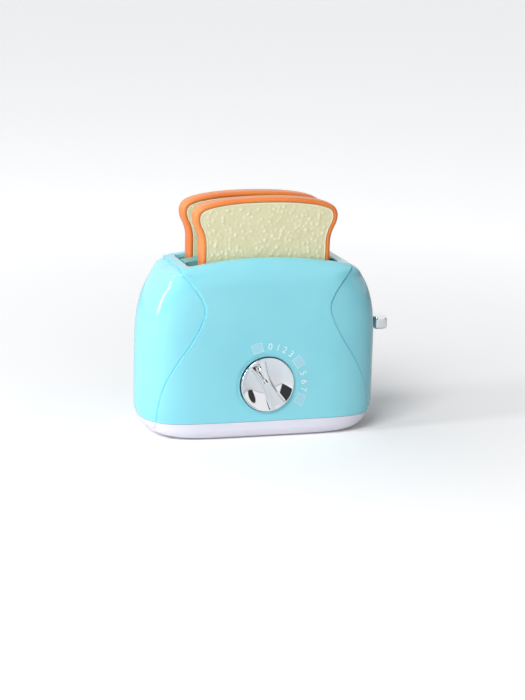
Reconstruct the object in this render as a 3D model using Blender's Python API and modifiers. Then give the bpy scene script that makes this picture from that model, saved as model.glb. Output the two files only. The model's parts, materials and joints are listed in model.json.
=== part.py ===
"""A toy pop-up toaster with a wind-up timer, built from separate pieces at their real size.

Metres, +Z up. The front with the dial faces -Y, the lever stands out of the end at +X, and
the origin is on the resting face under the middle of the body."""

import math

import bmesh
import bpy
from mathutils import Matrix, Vector

# Clearances
SEAT_GAP = 0.0003
RUNNING_GAP = 0.00015
SLIDE_GAP = 0.0006
OVERRUN = 0.004

# Body, measured over the raised centre panel
BODY_HALF_LENGTH = 0.0975
BODY_HALF_DEPTH = 0.038
BODY_TOP = 0.1417
LIP_CROWN = 0.006
LIP_WIDTH = 0.001
END_CORNER_RADIUS = 0.024
SIDE_CORNER_RADIUS = 0.008
END_SHOULDER_RUN = 0.0355
END_SHOULDER_RISE = 0.066
SIDE_SHOULDER_RUN = 0.013
SIDE_SHOULDER_RISE = 0.018
END_SHOULDER_POWERS = (2.6, 2.2)
WALL_PLAN_POWERS = (6.5, 2.2)
LIP_PLAN_POWERS = (28.0, 11.5)
LIP_BLEND_POWER = 4
OPENING_CORNER_RADIUS = 0.0035
PANEL_STEP = 0.001
# Edge of the raised panel: (share of the body's height, share of its half length)
PANEL_EDGE_SHARES = (
    (-0.05, 0.880),
    (0.06, 0.880),
    (0.16, 0.874),
    (0.27, 0.845),
    (0.36, 0.793),
    (0.454, 0.716),
    (0.54, 0.632),
    (0.63, 0.560),
    (0.70, 0.522),
    (0.745, 0.519),
    (0.79, 0.542),
    (0.835, 0.580),
    (0.88, 0.632),
    (0.93, 0.692),
    (0.965, 0.716),
    (1.08, 0.740),
)
WALL = 0.002
BASE_HEIGHT = 0.0137
BASE_RIM_RISE = 0.004
BASE_RIM_WALL = 0.0014

# Screws and their posts
SCREW_SHANK_RADIUS = 0.00135
SCREW_HEAD_RADIUS = 0.0028
SCREW_HEAD_HEIGHT = 0.0018
SCREW_POINT = 0.002
POST_RADIUS = 0.0044
BASE_FLOOR = 0.0025
BASE_SCREW_FROM_END = 0.0255
BASE_SCREW_FROM_SIDE = 0.014
BASE_SCREW_GRIP = 0.010
BASE_HEAD_DEPTH = 0.006
SHELL_BOSS_HEIGHT = 0.020
SHELL_BOSS_RIB = 0.0016
REAR_SCREW_FROM_END = 0.0175
REAR_SCREW_LOW_Z = 0.0287
REAR_SCREW_HIGH_Z = 0.1057
REAR_HEAD_DEPTH = 0.019
REAR_SCREW_GRIP = 0.012

# Guide rods, carriage and lever
ROD_RADIUS = 0.0015
ROD_FROM_PLATE = 0.0067
ROD_SOCKET_RADIUS = 0.0042
ROD_SOCKET_FLOOR = 0.006
TRAVEL = 0.040
SLICE_BASE_Z = 0.0917
RACK_WIDTH = 0.004
RACK_HEIGHT = 0.004
RACK_TEETH = 5
RACK_TOOTH_SHORT = 0.0005
RACK_TOOTH_WIDTH = 0.002
CARRIAGE_PLATE = 0.0022
CARRIAGE_PLATE_SHORT = 0.0005
CARRIAGE_BUSH_RADIUS = 0.0034
CARRIAGE_BUSH_HEIGHT = 0.018
CARRIAGE_BUSH_ABOVE = 0.0015
CARRIAGE_PLATE_HEIGHT = 0.010
CATCH_LEG_REACH = 0.0032
CATCH_REACH = 0.0030
CATCH_BELOW_SLICE = 0.010
CATCH_HEIGHT = 0.006
LEVER_BELOW_SLICE = 0.010
LEVER_HALF_WIDTH = 0.002
LEVER_HALF_HEIGHT = 0.0035
LEVER_TIP_REACH = 0.007
LEVER_SLOT_HALF_WIDTH = 0.003
LEVER_SLOT_END_GAP = 0.0005
KNOB_FACE_GAP = 0.0012
KNOB_LENGTH = 0.0115
KNOB_HALF_WIDTH = 0.0078
KNOB_HALF_HEIGHT = 0.0056
KNOB_ROUNDING = 0.003

# Slot frame
DIVIDER_HALF_WIDTH = 0.007
FRAME_WALL = 0.001
SLOT_CORNER_RADIUS = 0.0025
FRAME_BOTTOM = 0.0477
FRAME_SINK = 0.0026
DIVIDER_SINK = 0.0004
SLIT_SIDE_GAP = 0.0008
EAR_HALF_WIDTH = 0.005
EAR_BOTTOM = 0.1187
EAR_HEIGHT = 0.005
EAR_WALL = 0.0035

# Bread
SLICE_END_GAP = 0.0021
SLICE_HEIGHT = 0.096
SLICE_SIDE_GAP = 0.0016
SLICE_FOOT_SHARE = 0.918
SLICE_FOOT_MARGIN = 0.0006
CRUST_RIM = 0.0032
CRUST_ROUNDING = 0.0022
CRUMB_LEDGE = 0.0016
CRUMB_THICKNESS = 0.0016
CRUMB_SINK = 0.0004
FRONT_SLICE_SHIFT = 0.0013
REAR_SLICE_SHIFT = -0.0012
# Half outline of a slice above its foot: (share of its half width, share of its height)
SLICE_CURVE_SHARES = (
    (0.905, 0.30),
    (0.902, 0.58),
    (0.908, 0.66),
    (0.935, 0.72),
    (0.978, 0.775),
    (1.0, 0.83),
    (0.985, 0.885),
    (0.925, 0.927),
    (0.80, 0.957),
    (0.60, 0.980),
    (0.33, 0.995),
    (0.0, 1.0),
)

# Dial
DIAL_Z = 0.0432
DIAL_RADIUS = 0.0215
DIAL_PROUD = 0.002
DIAL_THICKNESS = 0.0075
DIAL_RIM = 0.0009
DIAL_DISH_DEPTH = 0.0048
DIAL_ROUNDING = 0.0006
DIAL_REST_DEG = -27.0
RIB_WAIST_HALF = 0.0032
RIB_END_HALF = 0.0072
RIB_FOOT = 0.001
RIB_PROUD = 0.0002
DOT_RADIUS = 0.0013
DOT_WIRE = 0.00045
DOT_AT = 0.0160
DIAL_GAP = 0.0008
DISH_RING_RADIUS = 0.026
DISH_RING_DEPTH = 0.0007
CUP_WALL = 0.002
SHAFT_RADIUS = 0.002
SHAFT_SOCKET = 0.0035

# Timer
PLATE_THICKNESS = 0.0008
PLATE_MARGIN = 0.0034
GEAR_MODULE = 0.0008
WHEEL_TEETH = 24
PINION_TEETH = 10
PRESSURE_DEG = 20.0
TOOTH_SHIFT = 0.42
TOOTH_ROOT = 1.25
BACKLASH = 0.00016
GEAR_THICKNESS = 0.0014
FIRST_MESH_DEG = 215.0
SECOND_MESH_DEG = 200.0
ARBOR_RADIUS = 0.001
PLATE_SPACING = 0.0204
SECOND_WHEEL_SHIFT = 0.007
PILLAR_RADIUS = 0.0016
PILLAR_LEFT = -0.033
PILLAR_RIGHT = 0.0135
PILLAR_LOW_Z = 0.0222
PILLAR_HIGH_Z = 0.0417
TIMER_SCREW_RADIUS = 0.001
TIMER_SCREW_HEAD_RADIUS = 0.0021
TIMER_SCREW_HEAD_HEIGHT = 0.0010
TIMER_BOSS_RADIUS = 0.003
TIMER_BOSS_DEPTH = 0.0045
TIMER_SCREW_LEFT = (-0.033, 0.0547)
TIMER_SCREW_RIGHT = (0.029, 0.0237)
SPRING_STRIP = 0.0004
SPRING_WIDTH = 0.004
SPRING_TURNS = 4
SPRING_INNER = 0.0017
SPRING_OUTER = 0.0084
SPRING_FRONT_SHIFT = 0.011
FLY_RADIUS = 0.0085
FLY_HUB = 0.0020
FLY_BLADE = 0.0008
FLY_WIDTH = 0.003

# Release cam and latch
CAM_THICKNESS = 0.0012
CAM_RADIUS = 0.009
CAM_EDGE_GAP = 0.0004
CAM_RUN_ON_DEG = 34.0
DIAL_TURN_DEG = 145.0
LATCH_TURN_DEG = 5.0
LATCH_PIVOT_FROM_PLATE = 0.0038
LATCH_PIVOT_Z = 0.0617
LATCH_NOSE_RADIUS = 0.002
LATCH_HALF_WIDTH = 0.0014
LATCH_HUB_RADIUS = 0.0030
LATCH_PIN_RADIUS = 0.0012
HOOK_HALF_HEIGHT = 0.0010
HOOK_ABOVE_CATCH = 0.0005
LATCH_PIN_DEPTH = 0.005
LATCH_PIN_END = 0.0008
HOOK_CLEARANCE = 0.0004

# Return spring
COIL_WIRE_RADIUS = 0.00045
COIL_RADIUS = 0.0030
COIL_TURNS = 9

# Facets
BODY_POINTS = 64
HOLLOW_POINTS = 32
HOLLOW_STEPS = 3
FINE_STEPS = 400
CORNER_STEPS = 4
SHOULDER_STEPS = 7
EDGE_STEPS = 3
ROUND_STEPS = 20
DIAL_STEPS = 48
COIL_POINTS = 9
CAM_STEPS = 16
SCREW_STEPS = 12
DISH_STEPS = 6
RIB_STEPS = 4
FLANK_STEPS = 1
SPRING_POINTS = 14
MESH_WELD = 0.000001
SMOOTH_DEG = 35.0

# Sizes and places that follow from the ones above
LIP_HALF_LENGTH = BODY_HALF_LENGTH - END_SHOULDER_RUN
LIP_HALF_DEPTH = BODY_HALF_DEPTH - SIDE_SHOULDER_RUN
OPENING_HALF_LENGTH = LIP_HALF_LENGTH - LIP_WIDTH
OPENING_HALF_DEPTH = LIP_HALF_DEPTH - LIP_WIDTH
INNER_INSET = PANEL_STEP + WALL
BASE_TOP = BASE_HEIGHT - SEAT_GAP / 2
SHELL_BOTTOM = BASE_HEIGHT + SEAT_GAP / 2
BASE_POST_TOP = BASE_HEIGHT + BASE_RIM_RISE
FRAME_HALF_LENGTH = OPENING_HALF_LENGTH - SEAT_GAP
FRAME_HALF_DEPTH = OPENING_HALF_DEPTH - SEAT_GAP
SLOT_HALF_LENGTH = FRAME_HALF_LENGTH - FRAME_WALL
SLOT_OUTER = FRAME_HALF_DEPTH - FRAME_WALL
SLICE_HALF_WIDTH = SLOT_HALF_LENGTH - SLICE_END_GAP
SLICE_THICKNESS = SLOT_OUTER - DIVIDER_HALF_WIDTH - SLICE_SIDE_GAP
SLICE_FOOT_ROUNDING = CRUST_RIM + CRUMB_LEDGE + SLICE_FOOT_MARGIN
SLICE_Y = SLOT_OUTER - SEAT_GAP - SLICE_THICKNESS / 2
RACK_TOOTH_HALF = SLICE_THICKNESS / 2 - RACK_TOOTH_SHORT
RACK_TOP = SLICE_BASE_Z - SEAT_GAP
LEVER_Z = SLICE_BASE_Z - LEVER_BELOW_SLICE
CATCH_TOP = SLICE_BASE_Z - CATCH_BELOW_SLICE
CARRIAGE_PLATE_X = FRAME_HALF_LENGTH + SLIDE_GAP
CARRIAGE_PLATE_HALF_WIDTH = SLOT_OUTER - CARRIAGE_PLATE_SHORT
ROD_X = CARRIAGE_PLATE_X + ROD_FROM_PLATE
LEVER_TIP_X = BODY_HALF_LENGTH + LEVER_TIP_REACH
LATCH_PIVOT_X = CARRIAGE_PLATE_X - LATCH_PIVOT_FROM_PLATE
BASE_SCREW_X = BODY_HALF_LENGTH - BASE_SCREW_FROM_END
BASE_SCREW_Y = BODY_HALF_DEPTH - BASE_SCREW_FROM_SIDE
REAR_SCREW_X = BODY_HALF_LENGTH - REAR_SCREW_FROM_END
REAR_HEAD_Y = BODY_HALF_DEPTH - REAR_HEAD_DEPTH
BUSH_TOP = RACK_TOP + CARRIAGE_BUSH_ABOVE
BUSH_BOTTOM = BUSH_TOP - CARRIAGE_BUSH_HEIGHT
ROD_TOP = EAR_BOTTOM + EAR_HEIGHT / 2
DIAL_FACE_Y = -BODY_HALF_DEPTH - DIAL_PROUD
DIAL_BACK_Y = DIAL_FACE_Y + DIAL_THICKNESS
WELL_FLOOR_Y = DIAL_BACK_Y + SEAT_GAP
CUP_BACK_Y = WELL_FLOOR_Y + CUP_WALL
FRONT_PLATE_Y = CUP_BACK_Y + SEAT_GAP
BACK_PLATE_Y = FRONT_PLATE_Y + PLATE_THICKNESS + PLATE_SPACING
DRIVE_GEAR_Y = FRONT_PLATE_Y + PLATE_THICKNESS + SEAT_GAP
CAM_Y = DRIVE_GEAR_Y + GEAR_THICKNESS + SEAT_GAP
SECOND_WHEEL_Y = DRIVE_GEAR_Y + SECOND_WHEEL_SHIFT
SPRING_Y = DRIVE_GEAR_Y + SPRING_FRONT_SHIFT
FLY_Y = SPRING_Y + SPRING_WIDTH + SLIDE_GAP
MESH_DISTANCE = GEAR_MODULE * (WHEEL_TEETH + PINION_TEETH) / 2


def linear(hex_colour):
    """Linear RGB of an sRGB colour written as six hex digits."""
    shares = [int(hex_colour[i : i + 2], 16) / 255 for i in (0, 2, 4)]
    return [s / 12.92 if s <= 0.04045 else ((s + 0.055) / 1.055) ** 2.4 for s in shares]


def make_material(name, hex_colour, roughness, metallic=0.0):
    material = bpy.data.materials.new(name)
    material.use_nodes = True
    shader = material.node_tree.nodes["Principled BSDF"]
    shader.inputs["Base Color"].default_value = (*linear(hex_colour), 1.0)
    shader.inputs["Roughness"].default_value = roughness
    shader.inputs["Metallic"].default_value = metallic
    material.diffuse_color = (*linear(hex_colour), 1.0)
    return material


for old in list(bpy.data.objects):
    bpy.data.objects.remove(old)

toaster = bpy.data.collections.new("toy_toaster")
cutters = bpy.data.collections.new("cutters")
bpy.context.scene.collection.children.link(toaster)
bpy.context.scene.collection.children.link(cutters)
cutters.hide_render = True

TURQUOISE = make_material("turquoise_abs", "8ADDE8", 0.22)
WHITE = make_material("lavender_white_abs", "EAE7F2", 0.22)
CRUST = make_material("crust_orange", "EE8A45", 0.45)
CRUMB = make_material("crumb_cream", "DDD9B0", 0.6)
CHROME = make_material("chrome_plate", "E4E6EA", 0.06, 1.0)
STEEL = make_material("steel", "B4B6B8", 0.35, 1.0)
BRASS = make_material("brass", "C9A557", 0.35, 1.0)
NYLON = make_material("white_nylon", "E6E4DC", 0.45)


def piece_of(name, mesh, material=None):
    """An object of this mesh: a piece of the toy, or a cutter if it has no material."""
    thing = bpy.data.objects.new(name, mesh)
    mesh.shade_smooth()
    mesh.set_sharp_from_angle(angle=math.radians(SMOOTH_DEG))
    if material is None:
        cutters.objects.link(thing)
        thing.hide_render = True
        thing.display_type = "WIRE"
    else:
        toaster.objects.link(thing)
        mesh.materials.append(material)
    return thing


def mesh_from(shape, name):
    mesh = bpy.data.meshes.new(name)
    shape.to_mesh(mesh)
    shape.free()
    return mesh


def block(name, low, high, material=None, rounding=0.0):
    """A box from its low corner to its high corner."""
    shape = bmesh.new()
    bmesh.ops.create_cube(shape, size=1.0)
    middle = (Vector(low) + Vector(high)) / 2
    sides = Vector(high) - Vector(low)
    place = Matrix.Translation(middle) @ Matrix.Diagonal((*sides, 1.0))
    bmesh.ops.transform(shape, matrix=place, verts=shape.verts)
    thing = piece_of(name, mesh_from(shape, name), material)
    if rounding:
        edge = thing.modifiers.new("rounded_edges", "BEVEL")
        edge.width = rounding
        edge.segments = EDGE_STEPS
    return thing


def cylinder(name, radius, start, end, material=None, steps=ROUND_STEPS, end_radius=None):
    """A round bar, or a cone if it has an end radius, from one centre to the other."""
    shape = bmesh.new()
    way = Vector(end) - Vector(start)
    turn = way.to_track_quat("Z", "Y").to_matrix().to_4x4()
    bmesh.ops.create_cone(
        shape,
        cap_ends=True,
        segments=steps,
        radius1=radius,
        radius2=radius if end_radius is None else end_radius,
        depth=way.length,
        matrix=Matrix.Translation((Vector(start) + Vector(end)) / 2) @ turn,
    )
    return piece_of(name, mesh_from(shape, name), material)


FACING = {
    "Y": Matrix(((1, 0, 0, 0), (0, 0, -1, 0), (0, 1, 0, 0), (0, 0, 0, 1))),
    "Z": Matrix.Identity(4),
}


def plate(name, loops, low, high, facing="Y", material=None):
    """A flat piece with these outlines, holes among them, between two planes square to Y or Z."""
    curve = bpy.data.curves.new(name + "_outline", "CURVE")
    curve.dimensions = "2D"
    curve.fill_mode = "BOTH"
    curve.extrude = abs(high - low) / 2
    for loop in loops:
        spline = curve.splines.new("POLY")
        spline.points.add(len(loop) - 1)
        for point, (u, v) in zip(spline.points, loop):
            point.co = (u, v, 0, 1)
        spline.use_cyclic_u = True
    outline = bpy.data.objects.new(name + "_outline", curve)
    mesh = bpy.data.meshes.new_from_object(outline)
    mesh.name = name
    bpy.data.objects.remove(outline)
    bpy.data.curves.remove(curve)
    shape = bmesh.new()
    shape.from_mesh(mesh)
    bmesh.ops.remove_doubles(shape, verts=shape.verts, dist=MESH_WELD)
    middle = (low + high) / 2
    along = {"Y": (0, middle, 0), "Z": (0, 0, middle)}[facing]
    bmesh.ops.transform(shape, matrix=Matrix.Translation(along) @ FACING[facing], verts=shape.verts)
    shape.to_mesh(mesh)
    shape.free()
    return piece_of(name, mesh, material)


def turned(name, profile, centre, facing, material=None, steps=ROUND_STEPS):
    """A solid turned round an axis. The profile is (radius, way along the axis), down its outer side."""
    mesh = bpy.data.meshes.new(name)
    points = [(radius, 0, way) for radius, way in profile]
    mesh.from_pydata(points, [(i, i + 1) for i in range(len(points) - 1)], [])
    thing = piece_of(name, mesh, material)
    turn = Matrix.Rotation(-math.pi / 2 if facing == "Y" else 0, 4, "X")
    thing.matrix_world = Matrix.Translation(centre) @ turn
    screw = thing.modifiers.new("turned", "SCREW")
    screw.steps = steps
    screw.render_steps = steps
    screw.use_merge_vertices = True
    screw.merge_threshold = MESH_WELD
    screw.use_smooth_shade = True
    return thing


def change(piece, operation, other):
    """Adds a Boolean with one other object, or with every object of a collection."""
    step = piece.modifiers.new(operation.lower() + "_" + other.name, "BOOLEAN")
    step.operation = operation
    if isinstance(other, bpy.types.Collection):
        step.operand_type = "COLLECTION"
        step.collection = other
    else:
        step.object = other


def group_of(name, things):
    """A collection of cutters that one Boolean uses together."""
    group = bpy.data.collections.new(name)
    cutters.children.link(group)
    for thing in things:
        cutters.objects.unlink(thing)
        group.objects.link(thing)
    return group


def carry(name, centre, pieces):
    """An empty on a joint's axis that carries the pieces which move together."""
    axis = bpy.data.objects.new(name, None)
    toaster.objects.link(axis)
    axis.location = centre
    for piece in pieces:
        piece.parent = axis
        piece.location = piece.location - Vector(centre)
    return axis


def smooth_through(points, steps):
    """Points of a smooth curve through the given ones, ends included."""
    ends = [points[0], *points, points[-1]]
    made = []
    for i in range(len(points) - 1):
        before, start, end, after = (Vector(p) for p in ends[i : i + 4])
        for step in range(steps):
            t = step / steps
            made.append(
                (
                    2 * start
                    + (end - before) * t
                    + (2 * before - 5 * start + 4 * end - after) * t**2
                    + (3 * start - before - 3 * end + after) * t**3
                )
                / 2
            )
    made.append(Vector(points[-1]))
    return [tuple(p) for p in made]


def plan_loop(half_x, half_y, powers, count):
    """A rounded rectangle in plan, as a superellipse that starts at its +X end.

    Its points are spread evenly by a mix of their distance along it and the turn between them."""
    fine = []
    for i in range(FINE_STEPS + 1):
        turn = math.pi / 2 * i / FINE_STEPS
        c, s = max(0.0, math.cos(turn)), math.sin(turn)
        fine.append(Vector((half_x * c ** (2 / powers[0]), half_y * s ** (2 / powers[1]))))
    steps = [after - before for before, after in zip(fine, fine[1:])]
    length = sum(step.length for step in steps)
    marks = [0.0]
    heading = math.pi / 2
    for step in steps:
        now = math.atan2(step.y, step.x)
        marks.append(marks[-1] + step.length / length + (now - heading) / (math.pi / 2))
        heading = now
    marks = [mark / marks[-1] for mark in marks]
    right = []
    k = 0
    for i in range(count // 4):
        share = 4 * i / count
        while marks[k + 1] < share:
            k += 1
        part = (share - marks[k]) / (marks[k + 1] - marks[k])
        right.append(fine[k].lerp(fine[k + 1], part))
    top = [(0.0, half_y), *((-p.x, p.y) for p in reversed(right[1:]))]
    upper = [tuple(p) for p in right] + top
    return upper + [(-x, -y) for x, y in upper]


def quarter(steps):
    """Angles from 0 to a right angle."""
    return [math.pi / 2 * step / steps for step in range(steps + 1)]


def rounded_rectangle(low_u, low_v, high_u, high_v, radius):
    """A rectangle with round corners, anticlockwise from its right side."""
    loop = []
    corners = ((high_u, high_v, 0), (low_u, high_v, 1), (low_u, low_v, 2), (high_u, low_v, 3))
    for u, v, quarter_turns in corners:
        centre_u = u - math.copysign(radius, u - (low_u + high_u) / 2)
        centre_v = v - math.copysign(radius, v - (low_v + high_v) / 2)
        for turn in quarter(EDGE_STEPS):
            angle = turn + quarter_turns * math.pi / 2
            loop.append((centre_u + radius * math.cos(angle), centre_v + radius * math.sin(angle)))
    return loop


def body_form(name, inset, material=None, floor=None, fine=True):
    """The body's closed outer form, moved in everywhere by the inset from the raised panel."""
    points = BODY_POINTS if fine else HOLLOW_POINTS
    steps = SHOULDER_STEPS if fine else HOLLOW_STEPS
    bottom = inset if floor is None else floor
    lip_end_z = BODY_TOP - LIP_CROWN - inset
    half_length = BODY_HALF_LENGTH - inset
    half_depth = BODY_HALF_DEPTH - inset
    lip_length = LIP_HALF_LENGTH - inset
    lip_depth = LIP_HALF_DEPTH - inset
    end_corner = END_CORNER_RADIUS - inset
    side_corner = SIDE_CORNER_RADIUS - inset
    end_start = lip_end_z - END_SHOULDER_RISE
    side_start = lip_end_z - SIDE_SHOULDER_RISE

    heights = [bottom + side_corner * (1 - math.cos(turn)) for turn in quarter(steps)]
    heights += [
        bottom + end_corner * (1 - math.cos(turn))
        for turn in quarter(steps)
        if end_corner * (1 - math.cos(turn)) > side_corner + WALL
    ]
    heights += [
        end_start + END_SHOULDER_RISE * math.sin(turn)
        for turn in quarter(steps + 2)
        if END_SHOULDER_RISE * (1 - math.sin(turn)) > SIDE_SHOULDER_RISE + WALL
    ]
    heights += [side_start + SIDE_SHOULDER_RISE * math.sin(turn) for turn in quarter(steps + 1)]

    shape = bmesh.new()
    rings = []
    for z in heights:
        end_low = max(0.0, end_corner - (z - bottom))
        side_low = max(0.0, side_corner - (z - bottom))
        end_share = min(1.0, max(0.0, (z - end_start) / END_SHOULDER_RISE))
        side_share = min(1.0, max(0.0, (z - side_start) / SIDE_SHOULDER_RISE))
        end_round = (1 - end_share ** END_SHOULDER_POWERS[0]) ** (1 / END_SHOULDER_POWERS[1])
        side_round = math.sqrt(max(0.0, 1 - side_share**2))
        half_x = lip_length + (half_length - lip_length) * end_round
        half_x -= end_corner - math.sqrt(end_corner**2 - end_low**2)
        half_y = lip_depth + (half_depth - lip_depth) * side_round
        half_y -= side_corner - math.sqrt(side_corner**2 - side_low**2)
        powers = [
            wall + (lip - wall) * side_share**LIP_BLEND_POWER
            for wall, lip in zip(WALL_PLAN_POWERS, LIP_PLAN_POWERS)
        ]
        ring = []
        for x, y in plan_loop(half_x, half_y, powers, points):
            crown = LIP_CROWN * end_share**2 * (1 - (x / half_x) ** 2)
            ring.append(shape.verts.new((x, y, z + crown)))
        rings.append(ring)
    for lower, upper in zip(rings, rings[1:]):
        for i in range(points):
            j = (i + 1) % points
            shape.faces.new((lower[i], lower[j], upper[j], upper[i]))
    shape.faces.new(reversed(rings[0]))
    top = rings[-1]
    for i in range(points // 2):
        corners = [top[i], top[i + 1], top[points - i - 1], top[-i]]
        shape.faces.new([c for k, c in enumerate(corners) if c not in corners[:k]])
    return piece_of(name, mesh_from(shape, name), material)


def panel_prism():
    """A bar along Y whose outline is the S-shaped edge of the raised panel."""
    points = [(BODY_HALF_LENGTH * x, BODY_TOP * z) for z, x in PANEL_EDGE_SHARES]
    right = smooth_through(points, EDGE_STEPS)
    left = [(-x, z) for x, z in reversed(right)]
    reach = BODY_HALF_DEPTH + OVERRUN
    return plate("panel_prism", [right + left], -reach, reach)


def screw_piece(name, head, point, head_radius, head_height, shank_radius, material=STEEL):
    """A pan-head screw from the outside of its head to its point, along Y or Z."""
    way = Vector(point) - Vector(head)
    length = way.length
    facing = "Y" if abs(way.y) > 0 else "Z"
    profile = [
        (0, length),
        (shank_radius, length - SCREW_POINT),
        (shank_radius, head_height),
        (head_radius, head_height),
        (head_radius, head_height / 2),
        (head_radius / 2, 0),
        (0, 0),
    ]
    thing = turned(name, profile, head, facing, material, SCREW_STEPS)
    if way.x + way.y + way.z < 0:
        thing.matrix_world = thing.matrix_world @ Matrix.Rotation(math.pi, 4, "X")
    return thing


# Housing
def make_body_cutters():
    """Forms that the two shells and the base tray share."""
    raised = body_form("raised_form", 0.0)
    change(raised, "INTERSECT", panel_prism())
    inside = []
    for side in (-1, 1):
        for z in (REAR_SCREW_LOW_Z, REAR_SCREW_HIGH_Z):
            x = side * REAR_SCREW_X
            reach = BODY_HALF_DEPTH
            inside.append(cylinder("rear_post", POST_RADIUS, (x, -reach, z), (x, reach, z)))
        for depth in (-1, 1):
            x = side * BASE_SCREW_X
            y = depth * BASE_SCREW_Y
            low = BASE_POST_TOP + SEAT_GAP
            high = low + SHELL_BOSS_HEIGHT
            inside.append(cylinder("base_boss", POST_RADIUS, (x, y, low), (x, y, high)))
            near, far = sorted((y, depth * BODY_HALF_DEPTH))
            half = SHELL_BOSS_RIB / 2
            foot = low + SHELL_BOSS_RIB
            inside.append(block("boss_rib", (x - half, near, foot), (x + half, far, high - half)))
    front = -BODY_HALF_DEPTH
    cup_radius = DIAL_RADIUS + DIAL_GAP + CUP_WALL
    inside.append(cylinder("cup", cup_radius, (0, front, DIAL_Z), (0, CUP_BACK_Y, DIAL_Z), steps=DIAL_STEPS))
    for x, z in (TIMER_SCREW_LEFT, TIMER_SCREW_RIGHT):
        inside.append(cylinder("timer_boss", TIMER_BOSS_RADIUS, (x, front, z), (x, CUP_BACK_Y, z)))
    x, z = LATCH_PIVOT_X, LATCH_PIVOT_Z
    inside.append(cylinder("latch_boss", LATCH_HUB_RADIUS, (x, front, z), (x, CAM_Y - SEAT_GAP, z)))
    hollow = body_form("shell_hollow", INNER_INSET, fine=False)
    change(hollow, "DIFFERENCE", group_of("left_standing", inside))
    return raised, hollow


def shell_cuts(name, depth):
    """What is cut from one shell: the opening, the lever slot and the holes for screws from below."""
    half_x, half_y = OPENING_HALF_LENGTH, OPENING_HALF_DEPTH
    opening = rounded_rectangle(-half_x, -half_y, half_x, half_y, OPENING_CORNER_RADIUS)
    low = BODY_TOP - LIP_CROWN - SIDE_SHOULDER_RISE
    cuts = [plate(name + "_opening", [opening], low, BODY_TOP + OVERRUN, "Z")]
    reach = LEVER_HALF_HEIGHT + LEVER_SLOT_END_GAP
    cuts.append(
        block(
            name + "_lever_slot",
            (BODY_HALF_LENGTH - INNER_INSET - OVERRUN, -LEVER_SLOT_HALF_WIDTH, LEVER_Z - TRAVEL - reach),
            (BODY_HALF_LENGTH + OVERRUN, LEVER_SLOT_HALF_WIDTH, LEVER_Z + reach),
        )
    )
    for side in (-1, 1):
        x, y = side * BASE_SCREW_X, depth * BASE_SCREW_Y
        top = BASE_POST_TOP + BASE_SCREW_GRIP + SEAT_GAP
        radius = SCREW_SHANK_RADIUS + RUNNING_GAP
        cuts.append(cylinder(name + "_pilot", radius, (x, y, BASE_HEIGHT), (x, y, top), steps=SCREW_STEPS))
    return cuts


def make_front_shell(raised, hollow):
    shell = body_form("front_shell", PANEL_STEP, TURQUOISE)
    change(shell, "UNION", raised)
    change(shell, "DIFFERENCE", hollow)
    far = BODY_HALF_LENGTH + OVERRUN
    half = block(
        "front_half",
        (-far, -BODY_HALF_DEPTH - OVERRUN, SHELL_BOTTOM),
        (far, -SEAT_GAP / 2, BODY_TOP + OVERRUN),
    )
    change(shell, "INTERSECT", half)
    cuts = shell_cuts("front", -1)
    out = -BODY_HALF_DEPTH
    well = DIAL_RADIUS + DIAL_GAP
    cuts.append(cylinder("well", well, (0, out - OVERRUN, DIAL_Z), (0, WELL_FLOOR_Y, DIAL_Z), steps=DIAL_STEPS))
    cuts.append(
        cylinder(
            "dish_ring",
            2 * DISH_RING_RADIUS - well,
            (0, out - DISH_RING_DEPTH, DIAL_Z),
            (0, out + DISH_RING_DEPTH, DIAL_Z),
            steps=DIAL_STEPS,
            end_radius=well,
        )
    )
    past_cup = CUP_BACK_Y + OVERRUN
    cuts.append(cylinder("shaft_hole", SHAFT_RADIUS + SLIDE_GAP, (0, out, DIAL_Z), (0, past_cup, DIAL_Z)))
    for side in (-1, 1):
        for z in (REAR_SCREW_LOW_Z, REAR_SCREW_HIGH_Z):
            x = side * REAR_SCREW_X
            deep = -REAR_SCREW_GRIP - SEAT_GAP
            radius = SCREW_SHANK_RADIUS + RUNNING_GAP
            cuts.append(cylinder("front_pilot", radius, (x, OVERRUN, z), (x, deep, z), steps=SCREW_STEPS))
    for x, z in (TIMER_SCREW_LEFT, TIMER_SCREW_RIGHT):
        radius = TIMER_SCREW_RADIUS + RUNNING_GAP
        deep = CUP_BACK_Y - TIMER_BOSS_DEPTH
        cuts.append(cylinder("timer_pilot", radius, (x, past_cup, z), (x, deep, z), steps=SCREW_STEPS))
    x, z = LATCH_PIVOT_X, LATCH_PIVOT_Z
    radius = LATCH_PIN_RADIUS + RUNNING_GAP
    deep = CAM_Y - SEAT_GAP - LATCH_PIN_DEPTH
    cuts.append(cylinder("latch_pin_hole", radius, (x, CAM_Y, z), (x, deep, z), steps=SCREW_STEPS))
    change(shell, "DIFFERENCE", group_of("front_shell_cuts", cuts))


def make_rear_shell(raised, hollow):
    shell = body_form("rear_shell", PANEL_STEP, TURQUOISE)
    change(shell, "UNION", raised)
    change(shell, "DIFFERENCE", hollow)
    far = BODY_HALF_LENGTH + OVERRUN
    half = block(
        "rear_half",
        (-far, SEAT_GAP / 2, SHELL_BOTTOM),
        (far, BODY_HALF_DEPTH + OVERRUN, BODY_TOP + OVERRUN),
    )
    change(shell, "INTERSECT", half)
    cuts = shell_cuts("rear", 1)
    for side in (-1, 1):
        for z in (REAR_SCREW_LOW_Z, REAR_SCREW_HIGH_Z):
            x = side * REAR_SCREW_X
            out = BODY_HALF_DEPTH + OVERRUN
            shank = SCREW_SHANK_RADIUS + RUNNING_GAP
            head = SCREW_HEAD_RADIUS + SLIDE_GAP
            cuts.append(cylinder("rear_shank_hole", shank, (x, -OVERRUN, z), (x, out, z), steps=SCREW_STEPS))
            cuts.append(cylinder("rear_head_hole", head, (x, REAR_HEAD_Y, z), (x, out, z), steps=SCREW_STEPS))
    change(shell, "DIFFERENCE", group_of("rear_shell_cuts", cuts))


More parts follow.
